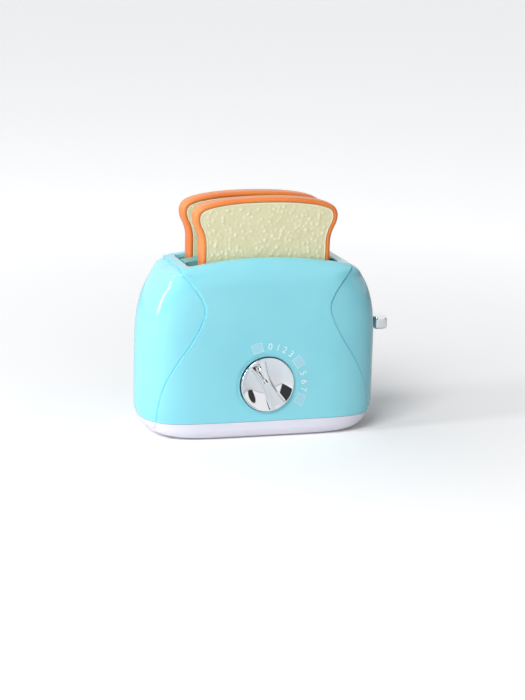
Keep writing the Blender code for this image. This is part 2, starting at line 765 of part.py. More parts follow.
def make_base_tray(raised):
    base = body_form("base_tray", PANEL_STEP, WHITE)
    change(base, "UNION", raised)
    far = BODY_HALF_LENGTH + OVERRUN
    low = block("base_slab", (-far, -far, -OVERRUN), (far, far, BASE_TOP))
    change(base, "INTERSECT", low)
    rim = body_form("base_rim", INNER_INSET + SEAT_GAP, fine=False)
    change(rim, "INTERSECT", block("rim_slab", (-far, -far, BASE_HEIGHT / 2), (far, far, BASE_POST_TOP)))
    change(base, "UNION", rim)
    standing = []
    cuts = []
    for side in (-1, 1):
        for depth in (-1, 1):
            x, y = side * BASE_SCREW_X, depth * BASE_SCREW_Y
            standing.append(cylinder("base_post", POST_RADIUS, (x, y, 0), (x, y, BODY_TOP / 2)))
            shank = SCREW_SHANK_RADIUS + RUNNING_GAP
            head = SCREW_HEAD_RADIUS + SLIDE_GAP
            up = BASE_POST_TOP + OVERRUN
            cuts.append(cylinder("base_shank_hole", shank, (x, y, 0), (x, y, up), steps=SCREW_STEPS))
            deep = BASE_HEAD_DEPTH
            cuts.append(cylinder("base_head_hole", head, (x, y, -OVERRUN), (x, y, deep), steps=SCREW_STEPS))
        x = side * ROD_X
        standing.append(cylinder("rod_socket", ROD_SOCKET_RADIUS, (x, 0, 0), (x, 0, BODY_TOP / 2)))
        hole = ROD_RADIUS + RUNNING_GAP
        cuts.append(cylinder("rod_socket_hole", hole, (x, 0, ROD_SOCKET_FLOOR), (x, 0, BASE_POST_TOP + OVERRUN)))
    inset = INNER_INSET + SEAT_GAP + BASE_RIM_WALL
    hollow = body_form("base_hollow", inset, floor=BASE_FLOOR, fine=False)
    change(hollow, "DIFFERENCE", group_of("base_standing", standing))
    change(base, "DIFFERENCE", hollow)
    change(base, "DIFFERENCE", group_of("base_cuts", cuts))


def make_screws():
    number = 0
    for side in (-1, 1):
        for depth in (-1, 1):
            number += 1
            x, y = side * BASE_SCREW_X, depth * BASE_SCREW_Y
            head = BASE_HEAD_DEPTH - SEAT_GAP - SCREW_HEAD_HEIGHT
            screw_piece(
                f"base_screw_{number}",
                (x, y, head),
                (x, y, BASE_POST_TOP + BASE_SCREW_GRIP),
                SCREW_HEAD_RADIUS,
                SCREW_HEAD_HEIGHT,
                SCREW_SHANK_RADIUS,
            )
    number = 0
    for side in (-1, 1):
        for z in (REAR_SCREW_LOW_Z, REAR_SCREW_HIGH_Z):
            number += 1
            x = side * REAR_SCREW_X
            screw_piece(
                f"rear_screw_{number}",
                (x, REAR_HEAD_Y + SEAT_GAP + SCREW_HEAD_HEIGHT, z),
                (x, -REAR_SCREW_GRIP, z),
                SCREW_HEAD_RADIUS,
                SCREW_HEAD_HEIGHT,
                SCREW_SHANK_RADIUS,
            )


def make_slot_frame():
    """The divider and the walls of both bread slots, which plug the opening of the shells from inside."""
    half_x, half_y = FRAME_HALF_LENGTH, FRAME_HALF_DEPTH
    outline = rounded_rectangle(-half_x, -half_y, half_x, half_y, OPENING_CORNER_RADIUS - SEAT_GAP)
    frame = plate("slot_frame", [outline], FRAME_BOTTOM, BODY_TOP + OVERRUN, "Z", TURQUOISE)
    change(frame, "INTERSECT", body_form("frame_top", FRAME_SINK))
    end = SLOT_HALF_LENGTH + FRAME_WALL / 2
    across = DIVIDER_HALF_WIDTH + FRAME_WALL
    wall_top = BODY_TOP - LIP_CROWN - FRAME_SINK
    rise = block("divider_rise", (-end, -across, wall_top - 2 * FRAME_WALL), (end, across, BODY_TOP + OVERRUN))
    change(rise, "INTERSECT", body_form("divider_top", DIVIDER_SINK))
    change(frame, "UNION", rise)
    ears = []
    cuts = []
    low = FRAME_BOTTOM - OVERRUN
    for depth in (-1, 1):
        near, far = sorted((depth * DIVIDER_HALF_WIDTH, depth * SLOT_OUTER))
        slot = rounded_rectangle(-SLOT_HALF_LENGTH, near, SLOT_HALF_LENGTH, far, SLOT_CORNER_RADIUS)
        cuts.append(plate("slot", [slot], low, BODY_TOP + OVERRUN, "Z"))
    divider = DIVIDER_HALF_WIDTH - FRAME_WALL
    cuts.append(
        block(
            "divider_core",
            (-SLOT_HALF_LENGTH + FRAME_WALL, -divider, low),
            (SLOT_HALF_LENGTH - FRAME_WALL, divider, wall_top - 2 * FRAME_WALL),
        )
    )
    for side in (-1, 1):
        inner, outer = sorted((side * (SLOT_HALF_LENGTH - OVERRUN), side * (FRAME_HALF_LENGTH + OVERRUN)))
        half = RACK_WIDTH / 2 + SLIT_SIDE_GAP
        for depth in (-1, 1):
            y = depth * SLICE_Y
            cuts.append(block("slit", (inner, y - half, low), (outer, y + half, RACK_TOP + SLIT_SIDE_GAP)))
        near, far = sorted((side * (FRAME_HALF_LENGTH - FRAME_WALL / 2), side * (ROD_X + EAR_WALL)))
        ears.append(
            block("ear", (near, -EAR_HALF_WIDTH, EAR_BOTTOM), (far, EAR_HALF_WIDTH, EAR_BOTTOM + EAR_HEIGHT))
        )
        x = side * ROD_X
        hole = ROD_RADIUS + RUNNING_GAP
        cuts.append(cylinder("ear_hole", hole, (x, 0, EAR_BOTTOM - OVERRUN), (x, 0, ROD_TOP + SEAT_GAP)))
    change(frame, "UNION", group_of("frame_ears", ears))
    change(frame, "DIFFERENCE", group_of("frame_cuts", cuts))


def make_guides():
    for name, side in (("left", -1), ("right", 1)):
        x = side * ROD_X
        cylinder(f"guide_rod_{name}", ROD_RADIUS, (x, 0, ROD_SOCKET_FLOOR + SEAT_GAP), (x, 0, ROD_TOP), STEEL)


# Carriage and lever
def make_rack(name, y):
    """A toothed bar under one slice, whose ends stand in the two end pieces."""
    end = CARRIAGE_PLATE_X + CARRIAGE_PLATE
    low = RACK_TOP - RACK_HEIGHT
    half = RACK_WIDTH / 2
    rack = block(name, (-end, y - half, low), (end, y + half, RACK_TOP), NYLON)
    teeth = []
    pitch = 2 * SLOT_HALF_LENGTH / (RACK_TEETH + 1)
    for i in range(RACK_TEETH):
        x = -SLOT_HALF_LENGTH + pitch * (i + 1)
        half = RACK_TOOTH_WIDTH / 2
        near = (x - half, y - RACK_TOOTH_HALF, low + RACK_HEIGHT / 4)
        teeth.append(block("rack_tooth", near, (x + half, y + RACK_TOOTH_HALF, RACK_TOP - RACK_HEIGHT / 4)))
    change(rack, "UNION", group_of(name + "_teeth", teeth))
    return rack


def make_carriage_end(name, side, parts):
    """An end piece: a plate that holds both racks, and a bush that slides on the guide rod."""
    x = side * ROD_X
    inner, outer = sorted((side * CARRIAGE_PLATE_X, side * (CARRIAGE_PLATE_X + CARRIAGE_PLATE)))
    half = CARRIAGE_PLATE_HALF_WIDTH
    end = block(name, (inner, -half, BUSH_TOP - CARRIAGE_PLATE_HEIGHT), (outer, half, BUSH_TOP), NYLON)
    bush = cylinder("bush", CARRIAGE_BUSH_RADIUS, (x, 0, BUSH_BOTTOM), (x, 0, BUSH_TOP))
    web = LEVER_HALF_WIDTH - SEAT_GAP
    near, far = sorted((side * (CARRIAGE_PLATE_X + CARRIAGE_PLATE / 2), x))
    joined = [bush, block("bush_web", (near, -web, BUSH_BOTTOM + web), (far, web, BUSH_TOP - web)), *parts]
    change(end, "UNION", group_of(name + "_parts", joined))
    hole = ROD_RADIUS + RUNNING_GAP
    holes = [cylinder("bush_hole", hole, (x, 0, BUSH_BOTTOM - OVERRUN), (x, 0, BUSH_TOP + OVERRUN))]
    for depth in (-1, 1):
        y = depth * SLICE_Y
        across = RACK_WIDTH / 2 + RUNNING_GAP
        low = RACK_TOP - RACK_HEIGHT - RUNNING_GAP
        near = (inner - OVERRUN, y - across, low)
        holes.append(block("rack_socket", near, (outer + OVERRUN, y + across, RACK_TOP + RUNNING_GAP)))
    change(end, "DIFFERENCE", group_of(name + "_holes", holes))
    return end


def make_carriage():
    """Two racks between two end pieces. The right one also has the lever arm and the catch."""
    arm = block(
        "lever_arm",
        (ROD_X + CARRIAGE_BUSH_RADIUS / 2, -LEVER_HALF_WIDTH, LEVER_Z - LEVER_HALF_HEIGHT),
        (LEVER_TIP_X, LEVER_HALF_WIDTH, LEVER_Z + LEVER_HALF_HEIGHT),
    )
    far = CARRIAGE_PLATE_X + CARRIAGE_PLATE
    plate_front = -CARRIAGE_PLATE_HALF_WIDTH
    leg_front = plate_front - CATCH_LEG_REACH
    low = CATCH_TOP - CATCH_HEIGHT
    leg = block(
        "catch_leg",
        (CARRIAGE_PLATE_X + SEAT_GAP, leg_front, low),
        (far - SEAT_GAP, plate_front + CARRIAGE_PLATE, BUSH_TOP - SEAT_GAP),
    )
    catch_front = leg_front - CATCH_REACH
    catch = block(
        "catch", (CARRIAGE_PLATE_X, catch_front, low + SEAT_GAP), (far, leg_front + SEAT_GAP, CATCH_TOP)
    )
    return [
        make_carriage_end("carriage_end_left", -1, []),
        make_carriage_end("carriage_end_right", 1, [arm, leg, catch]),
        make_rack("front_rack", -SLICE_Y),
        make_rack("rear_rack", SLICE_Y),
    ]


def make_lever_knob():
    start = BODY_HALF_LENGTH - PANEL_STEP + KNOB_FACE_GAP
    knob = block(
        "lever_knob",
        (start, -KNOB_HALF_WIDTH, LEVER_Z - KNOB_HALF_HEIGHT),
        (start + KNOB_LENGTH, KNOB_HALF_WIDTH, LEVER_Z + KNOB_HALF_HEIGHT),
        CHROME,
        KNOB_ROUNDING,
    )
    width = LEVER_HALF_WIDTH + SEAT_GAP
    height = LEVER_HALF_HEIGHT + SEAT_GAP
    socket = block(
        "knob_socket",
        (start - OVERRUN, -width, LEVER_Z - height),
        (LEVER_TIP_X + SEAT_GAP, width, LEVER_Z + height),
    )
    change(knob, "DIFFERENCE", socket)
    return knob


def make_return_spring():
    curve = bpy.data.curves.new("return_spring", "CURVE")
    curve.dimensions = "3D"
    curve.bevel_depth = COIL_WIRE_RADIUS
    curve.bevel_resolution = 1
    curve.use_fill_caps = True
    low = BASE_POST_TOP + SEAT_GAP + COIL_WIRE_RADIUS
    high = BUSH_BOTTOM - SEAT_GAP - COIL_WIRE_RADIUS
    count = COIL_TURNS * COIL_POINTS
    spline = curve.splines.new("POLY")
    spline.points.add(count)
    for i, point in enumerate(spline.points):
        turn = 2 * math.pi * i / COIL_POINTS
        z = low + (high - low) * i / count
        point.co = (ROD_X + COIL_RADIUS * math.cos(turn), COIL_RADIUS * math.sin(turn), z, 1)
    spring = bpy.data.objects.new("return_spring", curve)
    curve.materials.append(STEEL)
    toaster.objects.link(spring)
    return spring


# Bread
def slice_outline(inset):
    """Outline of a slice in X and Z from the middle of its foot, moved in by the inset."""
    curve = [(SLICE_FOOT_SHARE * SLICE_HALF_WIDTH, SLICE_FOOT_ROUNDING)]
    curve += [(x * SLICE_HALF_WIDTH, z * SLICE_HEIGHT) for x, z in SLICE_CURVE_SHARES]
    foot_x = curve[0][0] - SLICE_FOOT_ROUNDING
    right = [
        (foot_x + SLICE_FOOT_ROUNDING * math.sin(turn), SLICE_FOOT_ROUNDING * (1 - math.cos(turn)))
        for turn in quarter(CORNER_STEPS)[:-1]
    ]
    right += smooth_through(curve, 2)
    left = [(-x, z) for x, z in reversed(right[:-1])]
    loop = right + left
    moved = []
    for i, point in enumerate(loop):
        here = Vector(point)
        first = (here - Vector(loop[i - 1])).normalized()
        second = (Vector(loop[(i + 1) % len(loop)]) - here).normalized()
        normal = Vector((-(first + second).y, (first + second).x)).normalized()
        lean = normal.dot(Vector((-first.y, first.x)))
        moved.append(tuple(here + normal * inset / lean))
    return moved


def crust_form(name, y, shift):
    """The slice's full form with its long edges rounded, lofted from front to back."""
    half = SLICE_THICKNESS / 2 - CRUST_ROUNDING
    sections = [(-half - CRUST_ROUNDING * math.cos(turn), 1 - math.sin(turn)) for turn in quarter(EDGE_STEPS)]
    sections += [(-way, share) for way, share in reversed(sections)]
    shape = bmesh.new()
    rings = []
    for way, share in sections:
        loop = slice_outline(share * CRUST_ROUNDING)
        rings.append([shape.verts.new((x + shift, y + way, z + SLICE_BASE_Z)) for x, z in loop])
    for near, far in zip(rings, rings[1:]):
        for i in range(len(near)):
            shape.faces.new((near[i - 1], near[i], far[i], far[i - 1]))
    shape.faces.new(rings[0])
    shape.faces.new(reversed(rings[-1]))
    bmesh.ops.recalc_face_normals(shape, faces=shape.faces)
    return piece_of(name, mesh_from(shape, name), CRUST)


def make_slice(name, y, shift):
    """A hollow crust with a crumb panel set on a ledge inside each of its faces."""
    def at(inset):
        return [(x + shift, z + SLICE_BASE_Z) for x, z in slice_outline(inset)]

    half = SLICE_THICKNESS / 2
    ledge = half - CRUMB_SINK - CRUMB_THICKNESS
    crust = crust_form(name + "_crust", y, shift)
    through = at(CRUST_RIM + CRUMB_LEDGE)
    change(crust, "DIFFERENCE", plate(name + "_hollow", [through], y - half - OVERRUN, y + half + OVERRUN))
    pieces = [crust]
    for side, way in (("front", -1), ("rear", 1)):
        low, high = sorted((y + way * (ledge - SEAT_GAP), y + way * (half + OVERRUN)))
        change(crust, "DIFFERENCE", plate(f"{name}_{side}_pocket", [at(CRUST_RIM)], low, high))
        low, high = sorted((y + way * ledge, y + way * (ledge + CRUMB_THICKNESS)))
        panel = [at(CRUST_RIM + SEAT_GAP)]
        pieces.append(plate(f"{name}_{side}_crumb", panel, low, high, "Y", CRUMB))
    carry(name + "_lift", (shift, y, SLICE_BASE_Z), pieces)


# Dial
def turned_by(points, degrees):
    """Points turned anticlockwise as seen from the front."""
    c, s = math.cos(math.radians(degrees)), math.sin(math.radians(degrees))
    return [(u * c - v * s, u * s + v * c) for u, v in points]


def placed(points, u, v):
    return [(a + u, b + v) for a, b in points]


def circle(u, v, radius, steps=ROUND_STEPS):
    turns = [2 * math.pi * i / steps for i in range(steps)]
    return [(u + radius * math.cos(turn), v + radius * math.sin(turn)) for turn in turns]


def make_dial_knob():
    """A dished disc with an hourglass rib across it for the fingers, and a ring-shaped pointer dot."""
    lip = DIAL_RADIUS - DIAL_RIM
    ball = (lip**2 + DIAL_DISH_DEPTH**2) / (2 * DIAL_DISH_DEPTH)
    back = DIAL_THICKNESS
    profile = [(0, back), (DIAL_RADIUS, back), (DIAL_RADIUS, DIAL_ROUNDING), (DIAL_RADIUS - DIAL_ROUNDING, 0)]
    for step in range(DISH_STEPS + 1):
        radius = lip * (1 - step / DISH_STEPS)
        profile.append((radius, DIAL_DISH_DEPTH - ball + math.sqrt(ball**2 - radius**2)))
    knob = turned("dial_knob", profile, (0, DIAL_FACE_Y, DIAL_Z), "Y", CHROME, DIAL_STEPS)
    end = DIAL_RADIUS - DIAL_RIM / 2
    corner = math.sqrt(end**2 - RIB_END_HALF**2)
    side = []
    for step in range(-RIB_STEPS, RIB_STEPS + 1):
        share = step / RIB_STEPS
        side.append((RIB_WAIST_HALF + (RIB_END_HALF - RIB_WAIST_HALF) * share**2, corner * share))
    side.append((RIB_END_HALF / 2, math.sqrt(end**2 - (RIB_END_HALF / 2) ** 2)))
    outline = side + [(-u, -v) for u, v in side]
    outline = placed(turned_by(outline, -DIAL_REST_DEG), 0, DIAL_Z)
    foot = DIAL_FACE_Y + DIAL_DISH_DEPTH + RIB_FOOT
    rib = plate("dial_rib", [outline], DIAL_FACE_Y - RIB_PROUD, foot)
    change(knob, "UNION", rib)
    u, v = turned_by([(0, DOT_AT)], -DIAL_REST_DEG)[0]
    v += DIAL_Z
    top = DIAL_FACE_Y - RIB_PROUD
    ring = cylinder("pointer_ring", DOT_RADIUS + DOT_WIRE, (u, top - DOT_WIRE, v), (u, foot, v))
    far = top + DOT_WIRE
    pit = cylinder("pointer_pit", DOT_RADIUS - DOT_WIRE, (u, top - OVERRUN, v), (u, far, v), steps=SCREW_STEPS)
    change(knob, "UNION", ring)
    change(knob, "DIFFERENCE", pit)
    hole = SHAFT_RADIUS + RUNNING_GAP
    deep = DIAL_BACK_Y - SHAFT_SOCKET - SEAT_GAP
    start = DIAL_BACK_Y + OVERRUN
    change(knob, "DIFFERENCE", cylinder("knob_hole", hole, (0, start, DIAL_Z), (0, deep, DIAL_Z)))
    return knob


# Timer
def gear_outline(teeth, shift, tooth_at_deg):
    """An involute gear with a tooth centred at the given angle. The shift moves its teeth outwards."""
    pitch = GEAR_MODULE * teeth / 2
    pressure = math.radians(PRESSURE_DEG)
    base = pitch * math.cos(pressure)
    tip = pitch + GEAR_MODULE * (1 + shift) - BACKLASH / 2
    root = pitch - GEAR_MODULE * (TOOTH_ROOT - shift)
    half = (math.pi / 2 + 2 * shift * math.tan(pressure)) / teeth - BACKLASH / (2 * pitch)
    involute = math.tan(pressure) - pressure

    def half_angle(radius):
        lean = math.acos(min(1.0, base / radius))
        return half + involute - (math.tan(lean) - lean)

    start = max(base, root)
    radii = [start + (tip - start) * step / FLANK_STEPS for step in range(FLANK_STEPS + 1)]
    if root < base:
        radii.insert(0, root)
    loop = []
    for tooth in range(teeth):
        middle = math.radians(tooth_at_deg) + 2 * math.pi * tooth / teeth
        flank = [(r, half_angle(max(r, base))) for r in radii]
        for radius, angle in flank:
            loop.append((radius * math.cos(middle - angle), radius * math.sin(middle - angle)))
        for radius, angle in reversed(flank):
            loop.append((radius * math.cos(middle + angle), radius * math.sin(middle + angle)))
    return loop


def wheel_and_pinion_centres():
    first = turned_by([(MESH_DISTANCE, 0)], FIRST_MESH_DEG)[0]
    first = (first[0], first[1] + DIAL_Z)
    second = turned_by([(MESH_DISTANCE, 0)], SECOND_MESH_DEG)[0]
    return first, (second[0] + first[0], second[1] + first[1])


def make_timer_frame():
    first, second = wheel_and_pinion_centres()
    shaft_hole = circle(0, DIAL_Z, SHAFT_RADIUS + RUNNING_GAP)
    holes = [circle(*centre, ARBOR_RADIUS + RUNNING_GAP, SCREW_STEPS) for centre in (first, second)]
    left, low = PILLAR_LEFT - PLATE_MARGIN, PILLAR_LOW_Z - PLATE_MARGIN
    screw_holes = [
        circle(x, z, TIMER_SCREW_RADIUS + RUNNING_GAP, SCREW_STEPS)
        for x, z in (TIMER_SCREW_LEFT, TIMER_SCREW_RIGHT)
    ]
    outline = rounded_rectangle(
        left, low, TIMER_SCREW_RIGHT[0] + PLATE_MARGIN, TIMER_SCREW_LEFT[1] + PLATE_MARGIN, PLATE_MARGIN
    )
    loops = [outline, shaft_hole, *holes, *screw_holes]
    plate("timer_front_plate", loops, FRONT_PLATE_Y, FRONT_PLATE_Y + PLATE_THICKNESS, "Y", BRASS)
    outline = rounded_rectangle(
        left, low, PILLAR_RIGHT + PLATE_MARGIN, DIAL_Z + PLATE_MARGIN, PLATE_MARGIN
    )
    loops = [outline, shaft_hole, *holes]
    plate("timer_back_plate", loops, BACK_PLATE_Y, BACK_PLATE_Y + PLATE_THICKNESS, "Y", BRASS)
    near = FRONT_PLATE_Y + PLATE_THICKNESS + SEAT_GAP
    number = 0
    for x in (PILLAR_LEFT, PILLAR_RIGHT):
        for z in (PILLAR_LOW_Z, PILLAR_HIGH_Z):
            number += 1
            far = BACK_PLATE_Y - SEAT_GAP
            cylinder(f"timer_pillar_{number}", PILLAR_RADIUS, (x, near, z), (x, far, z), STEEL, SCREW_STEPS)
    for name, (x, z) in (("left", TIMER_SCREW_LEFT), ("right", TIMER_SCREW_RIGHT)):
        outer = FRONT_PLATE_Y + PLATE_THICKNESS + SEAT_GAP + TIMER_SCREW_HEAD_HEIGHT
        screw_piece(
            f"timer_screw_{name}",
            (x, outer, z),
            (x, CUP_BACK_Y - TIMER_BOSS_DEPTH + SEAT_GAP, z),
            TIMER_SCREW_HEAD_RADIUS,
            TIMER_SCREW_HEAD_HEIGHT,
            TIMER_SCREW_RADIUS,
        )


def make_mainspring():
    """A flat spiral strip round the first arbor."""
    (u, v), _ = wheel_and_pinion_centres()
    count = SPRING_TURNS * SPRING_POINTS
    inner = []
    outer = []
    for i in range(count + 1):
        turn = 2 * math.pi * i / SPRING_POINTS
        radius = SPRING_INNER + (SPRING_OUTER - SPRING_INNER) * i / count
        inner.append((u + radius * math.cos(turn), v + radius * math.sin(turn)))
        radius += SPRING_STRIP
        outer.append((u + radius * math.cos(turn), v + radius * math.sin(turn)))
    plate("mainspring", [outer + inner[::-1]], SPRING_Y, SPRING_Y + SPRING_WIDTH, "Y", STEEL)


def make_gears():
    first, second = wheel_and_pinion_centres()
    half_tooth = 180 / PINION_TEETH
    shaft_hole = circle(0, DIAL_Z, SHAFT_RADIUS + RUNNING_GAP)
    wheel = placed(gear_outline(WHEEL_TEETH, -TOOTH_SHIFT, FIRST_MESH_DEG), 0, DIAL_Z)
    end = DRIVE_GEAR_Y + GEAR_THICKNESS
    drive_gear = plate("drive_gear", [wheel, shaft_hole], DRIVE_GEAR_Y, end, "Y", NYLON)

    tooth = FIRST_MESH_DEG + 180 + half_tooth
    pinion = placed(gear_outline(PINION_TEETH, TOOTH_SHIFT, tooth), *first)
    arbor = plate("pinion_arbor", [pinion], DRIVE_GEAR_Y, end, "Y", BRASS)
    past = BACK_PLATE_Y + PLATE_THICKNESS
    x, z = first
    bar = cylinder("pinion_arbor_bar", ARBOR_RADIUS, (x, FRONT_PLATE_Y, z), (x, past, z), steps=SCREW_STEPS)
    change(arbor, "UNION", bar)
    wheel = placed(gear_outline(WHEEL_TEETH, -TOOTH_SHIFT, SECOND_MESH_DEG), *first)
    hole = circle(*first, ARBOR_RADIUS + RUNNING_GAP, SCREW_STEPS)
    end = SECOND_WHEEL_Y + GEAR_THICKNESS
    second_wheel = plate("second_wheel", [wheel, hole], SECOND_WHEEL_Y, end, "Y", NYLON)

    tooth = SECOND_MESH_DEG + 180 + half_tooth
    pinion = placed(gear_outline(PINION_TEETH, TOOTH_SHIFT, tooth), *second)
    fly_arbor = plate("fly_arbor", [pinion], SECOND_WHEEL_Y, end, "Y", BRASS)
    x, z = second
    bar = cylinder("fly_arbor_bar", ARBOR_RADIUS, (x, FRONT_PLATE_Y, z), (x, past, z), steps=SCREW_STEPS)
    change(fly_arbor, "UNION", bar)
    fly = block(
        "governor_fly",
        (x - FLY_RADIUS, FLY_Y, z - FLY_BLADE / 2),
        (x + FLY_RADIUS, FLY_Y + FLY_WIDTH, z + FLY_BLADE / 2),
        NYLON,
    )
    near, far = FLY_Y - SEAT_GAP, FLY_Y + FLY_WIDTH + SEAT_GAP
    hub = cylinder("fly_hub", FLY_HUB, (x, near, z), (x, far, z), steps=SCREW_STEPS)
    change(fly, "UNION", hub)
    hole = ARBOR_RADIUS + RUNNING_GAP
    bore = cylinder("fly_bore", hole, (x, near - OVERRUN, z), (x, far + OVERRUN, z), steps=SCREW_STEPS)
    change(fly, "DIFFERENCE", bore)
    carry("first_arbor_axis", (first[0], FRONT_PLATE_Y, first[1]), [arbor, second_wheel])
    carry("fly_axis", (second[0], FRONT_PLATE_Y, second[1]), [fly_arbor, fly])
    return drive_gear


# Release cam and latch
def latch_turned(point, degrees):
    """A point of the latch after it has turned from rest towards the catch."""
    u, v = turned_by([(point[0] - LATCH_PIVOT_X, point[1] - LATCH_PIVOT_Z)], degrees)[0]
    return (u + LATCH_PIVOT_X, v + LATCH_PIVOT_Z)


LATCH_NOSE = (0.0, DIAL_Z + CAM_RADIUS + CAM_EDGE_GAP + LATCH_NOSE_RADIUS)


def make_release_cam():
    """A snail cam whose edge keeps the same gap to the latch nose at every setting of the dial."""
    loop = []
    for step in range(CAM_STEPS + 1):
        dial = (DIAL_TURN_DEG + CAM_RUN_ON_DEG) * step / CAM_STEPS
        turn = min(dial, DIAL_TURN_DEG) * LATCH_TURN_DEG / DIAL_TURN_DEG
        nose = latch_turned(LATCH_NOSE, turn)
        away = math.hypot(nose[0], nose[1] - DIAL_Z)
        angle = math.atan2(nose[1] - DIAL_Z, nose[0]) + math.radians(dial)
        radius = away - LATCH_NOSE_RADIUS - CAM_EDGE_GAP
        loop.append((radius * math.cos(angle), radius * math.sin(angle) + DIAL_Z))
    start = math.pi / 2 + math.radians(DIAL_TURN_DEG + CAM_RUN_ON_DEG)
    for step in range(1, CAM_STEPS):
        angle = start + (5 * math.pi / 2 - start) * step / CAM_STEPS
        loop.append((CAM_RADIUS * math.cos(angle), CAM_RADIUS * math.sin(angle) + DIAL_Z))
    hole = circle(0, DIAL_Z, SHAFT_RADIUS + RUNNING_GAP)
    return plate("release_cam", [loop, hole], CAM_Y, CAM_Y + CAM_THICKNESS, "Y", NYLON)


def strip(path, half_widths):
    """Outline of a bent bar with round ends, of the given half width at each point of its path."""
    left = []
    right = []
    last = len(path) - 1
    for i, (point, half) in enumerate(zip(path, half_widths)):
        here = Vector(point)
        first = (here - Vector(path[i - 1])).normalized() if i else None
        second = (Vector(path[i + 1]) - here).normalized() if i < last else None
        way = ((first or second) + (second or first)).normalized()
        normal = Vector((-way.y, way.x))
        lean = normal.dot(Vector((-(second or first).y, (second or first).x)))
        left.append(tuple(here + normal * half / lean))
        right.append(tuple(here - normal * half / lean))
    ends = []
    for i, way in ((last, 1), (0, -1)):
        along = (Vector(path[last]) - Vector(path[last - 1])) if i else (Vector(path[1]) - Vector(path[0]))
        heading = math.atan2(along.y, along.x) + (0 if way > 0 else math.pi)
        cap = []
        for step in range(1, 2 * EDGE_STEPS):
            angle = heading - math.pi / 2 + math.pi * step / (2 * EDGE_STEPS)
            cap.append(
                (path[i][0] + half_widths[i] * math.cos(angle), path[i][1] + half_widths[i] * math.sin(angle))
            )
        ends.append(cap)
    return right + ends[0] + left[::-1] + ends[1]


def make_latch():
    """A bell crank: its nose rides the snail cam and its hook swings over the carriage's catch."""
    turn = math.radians(LATCH_TURN_DEG)
    tip_z = CATCH_TOP - TRAVEL + HOOK_ABOVE_CATCH + HOOK_HALF_HEIGHT
    drop = LATCH_PIVOT_Z - tip_z
    reach = CARRIAGE_PLATE_X - HOOK_CLEARANCE - LATCH_PIVOT_X - HOOK_HALF_HEIGHT
    tip_x = LATCH_PIVOT_X + (reach - drop * math.sin(turn)) / math.cos(turn)
    neck = (LATCH_NOSE[0] + 2 * LATCH_NOSE_RADIUS, LATCH_NOSE[1] + LATCH_NOSE_RADIUS / 2)
    knee = (LATCH_PIVOT_X - LATCH_HUB_RADIUS / 2, tip_z)
    path = [LATCH_NOSE, neck, (LATCH_PIVOT_X, LATCH_PIVOT_Z), knee, (tip_x, tip_z)]
    widths = [LATCH_NOSE_RADIUS, LATCH_HALF_WIDTH, LATCH_HUB_RADIUS, LATCH_HALF_WIDTH, HOOK_HALF_HEIGHT]
    hole = circle(LATCH_PIVOT_X, LATCH_PIVOT_Z, LATCH_PIN_RADIUS + RUNNING_GAP, SCREW_STEPS)
    latch = plate("latch_lever", [strip(path, widths), hole], CAM_Y, CAM_Y + CAM_THICKNESS, "Y", NYLON)
    carry("latch_axis", (LATCH_PIVOT_X, CAM_Y, LATCH_PIVOT_Z), [latch])
    start = CAM_Y - SEAT_GAP - LATCH_PIN_DEPTH + SEAT_GAP
    end = CAM_Y + CAM_THICKNESS + LATCH_PIN_END
    x, z = LATCH_PIVOT_X, LATCH_PIVOT_Z
    cylinder("latch_pin", LATCH_PIN_RADIUS, (x, start, z), (x, end, z), STEEL, SCREW_STEPS)


def make_dial_group(drive_gear):
    start = DIAL_BACK_Y - SHAFT_SOCKET
    end = BACK_PLATE_Y + PLATE_THICKNESS
    shaft = cylinder("dial_shaft", SHAFT_RADIUS, (0, start, DIAL_Z), (0, end, DIAL_Z), STEEL)
    carry("dial_axis", (0, DIAL_FACE_Y, DIAL_Z), [make_dial_knob(), shaft, drive_gear, make_release_cam()])


raised_form, shell_hollow = make_body_cutters()
make_front_shell(raised_form, shell_hollow)
make_rear_shell(raised_form, shell_hollow)
make_base_tray(raised_form)
make_slot_frame()
make_screws()
make_guides()
carry("lever_axis", (ROD_X, 0, LEVER_Z), [*make_carriage(), make_lever_knob()])
make_return_spring()
make_slice("front_slice", -SLICE_Y, FRONT_SLICE_SHIFT)
make_slice("rear_slice", SLICE_Y, REAR_SLICE_SHIFT)
make_timer_frame()
make_mainspring()
make_dial_group(make_gears())
make_latch()
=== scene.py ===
"""Looks of a toy pop-up toaster: glossy moulded ABS, chromed knobs and two slices of bread."""

import math
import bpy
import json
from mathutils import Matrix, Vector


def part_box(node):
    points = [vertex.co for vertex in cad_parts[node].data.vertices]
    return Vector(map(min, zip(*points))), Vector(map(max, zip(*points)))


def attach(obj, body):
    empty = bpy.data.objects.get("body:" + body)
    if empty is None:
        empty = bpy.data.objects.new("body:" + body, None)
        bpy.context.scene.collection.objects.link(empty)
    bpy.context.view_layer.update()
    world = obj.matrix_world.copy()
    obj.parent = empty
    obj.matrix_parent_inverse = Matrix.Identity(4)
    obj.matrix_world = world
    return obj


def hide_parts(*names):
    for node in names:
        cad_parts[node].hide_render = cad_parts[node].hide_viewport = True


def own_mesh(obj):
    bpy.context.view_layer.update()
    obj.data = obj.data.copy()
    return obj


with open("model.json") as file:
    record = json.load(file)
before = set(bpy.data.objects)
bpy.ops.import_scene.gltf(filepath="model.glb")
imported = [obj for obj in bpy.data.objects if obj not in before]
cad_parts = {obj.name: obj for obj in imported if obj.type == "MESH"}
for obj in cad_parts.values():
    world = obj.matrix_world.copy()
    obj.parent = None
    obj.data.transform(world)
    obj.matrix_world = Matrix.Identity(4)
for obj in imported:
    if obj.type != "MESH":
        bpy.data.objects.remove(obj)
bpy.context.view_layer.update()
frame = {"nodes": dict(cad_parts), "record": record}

import json

import bmesh
import bpy
import numpy as np
from mathutils import Matrix, Vector
from mathutils.bvhtree import BVHTree

MM = 0.001

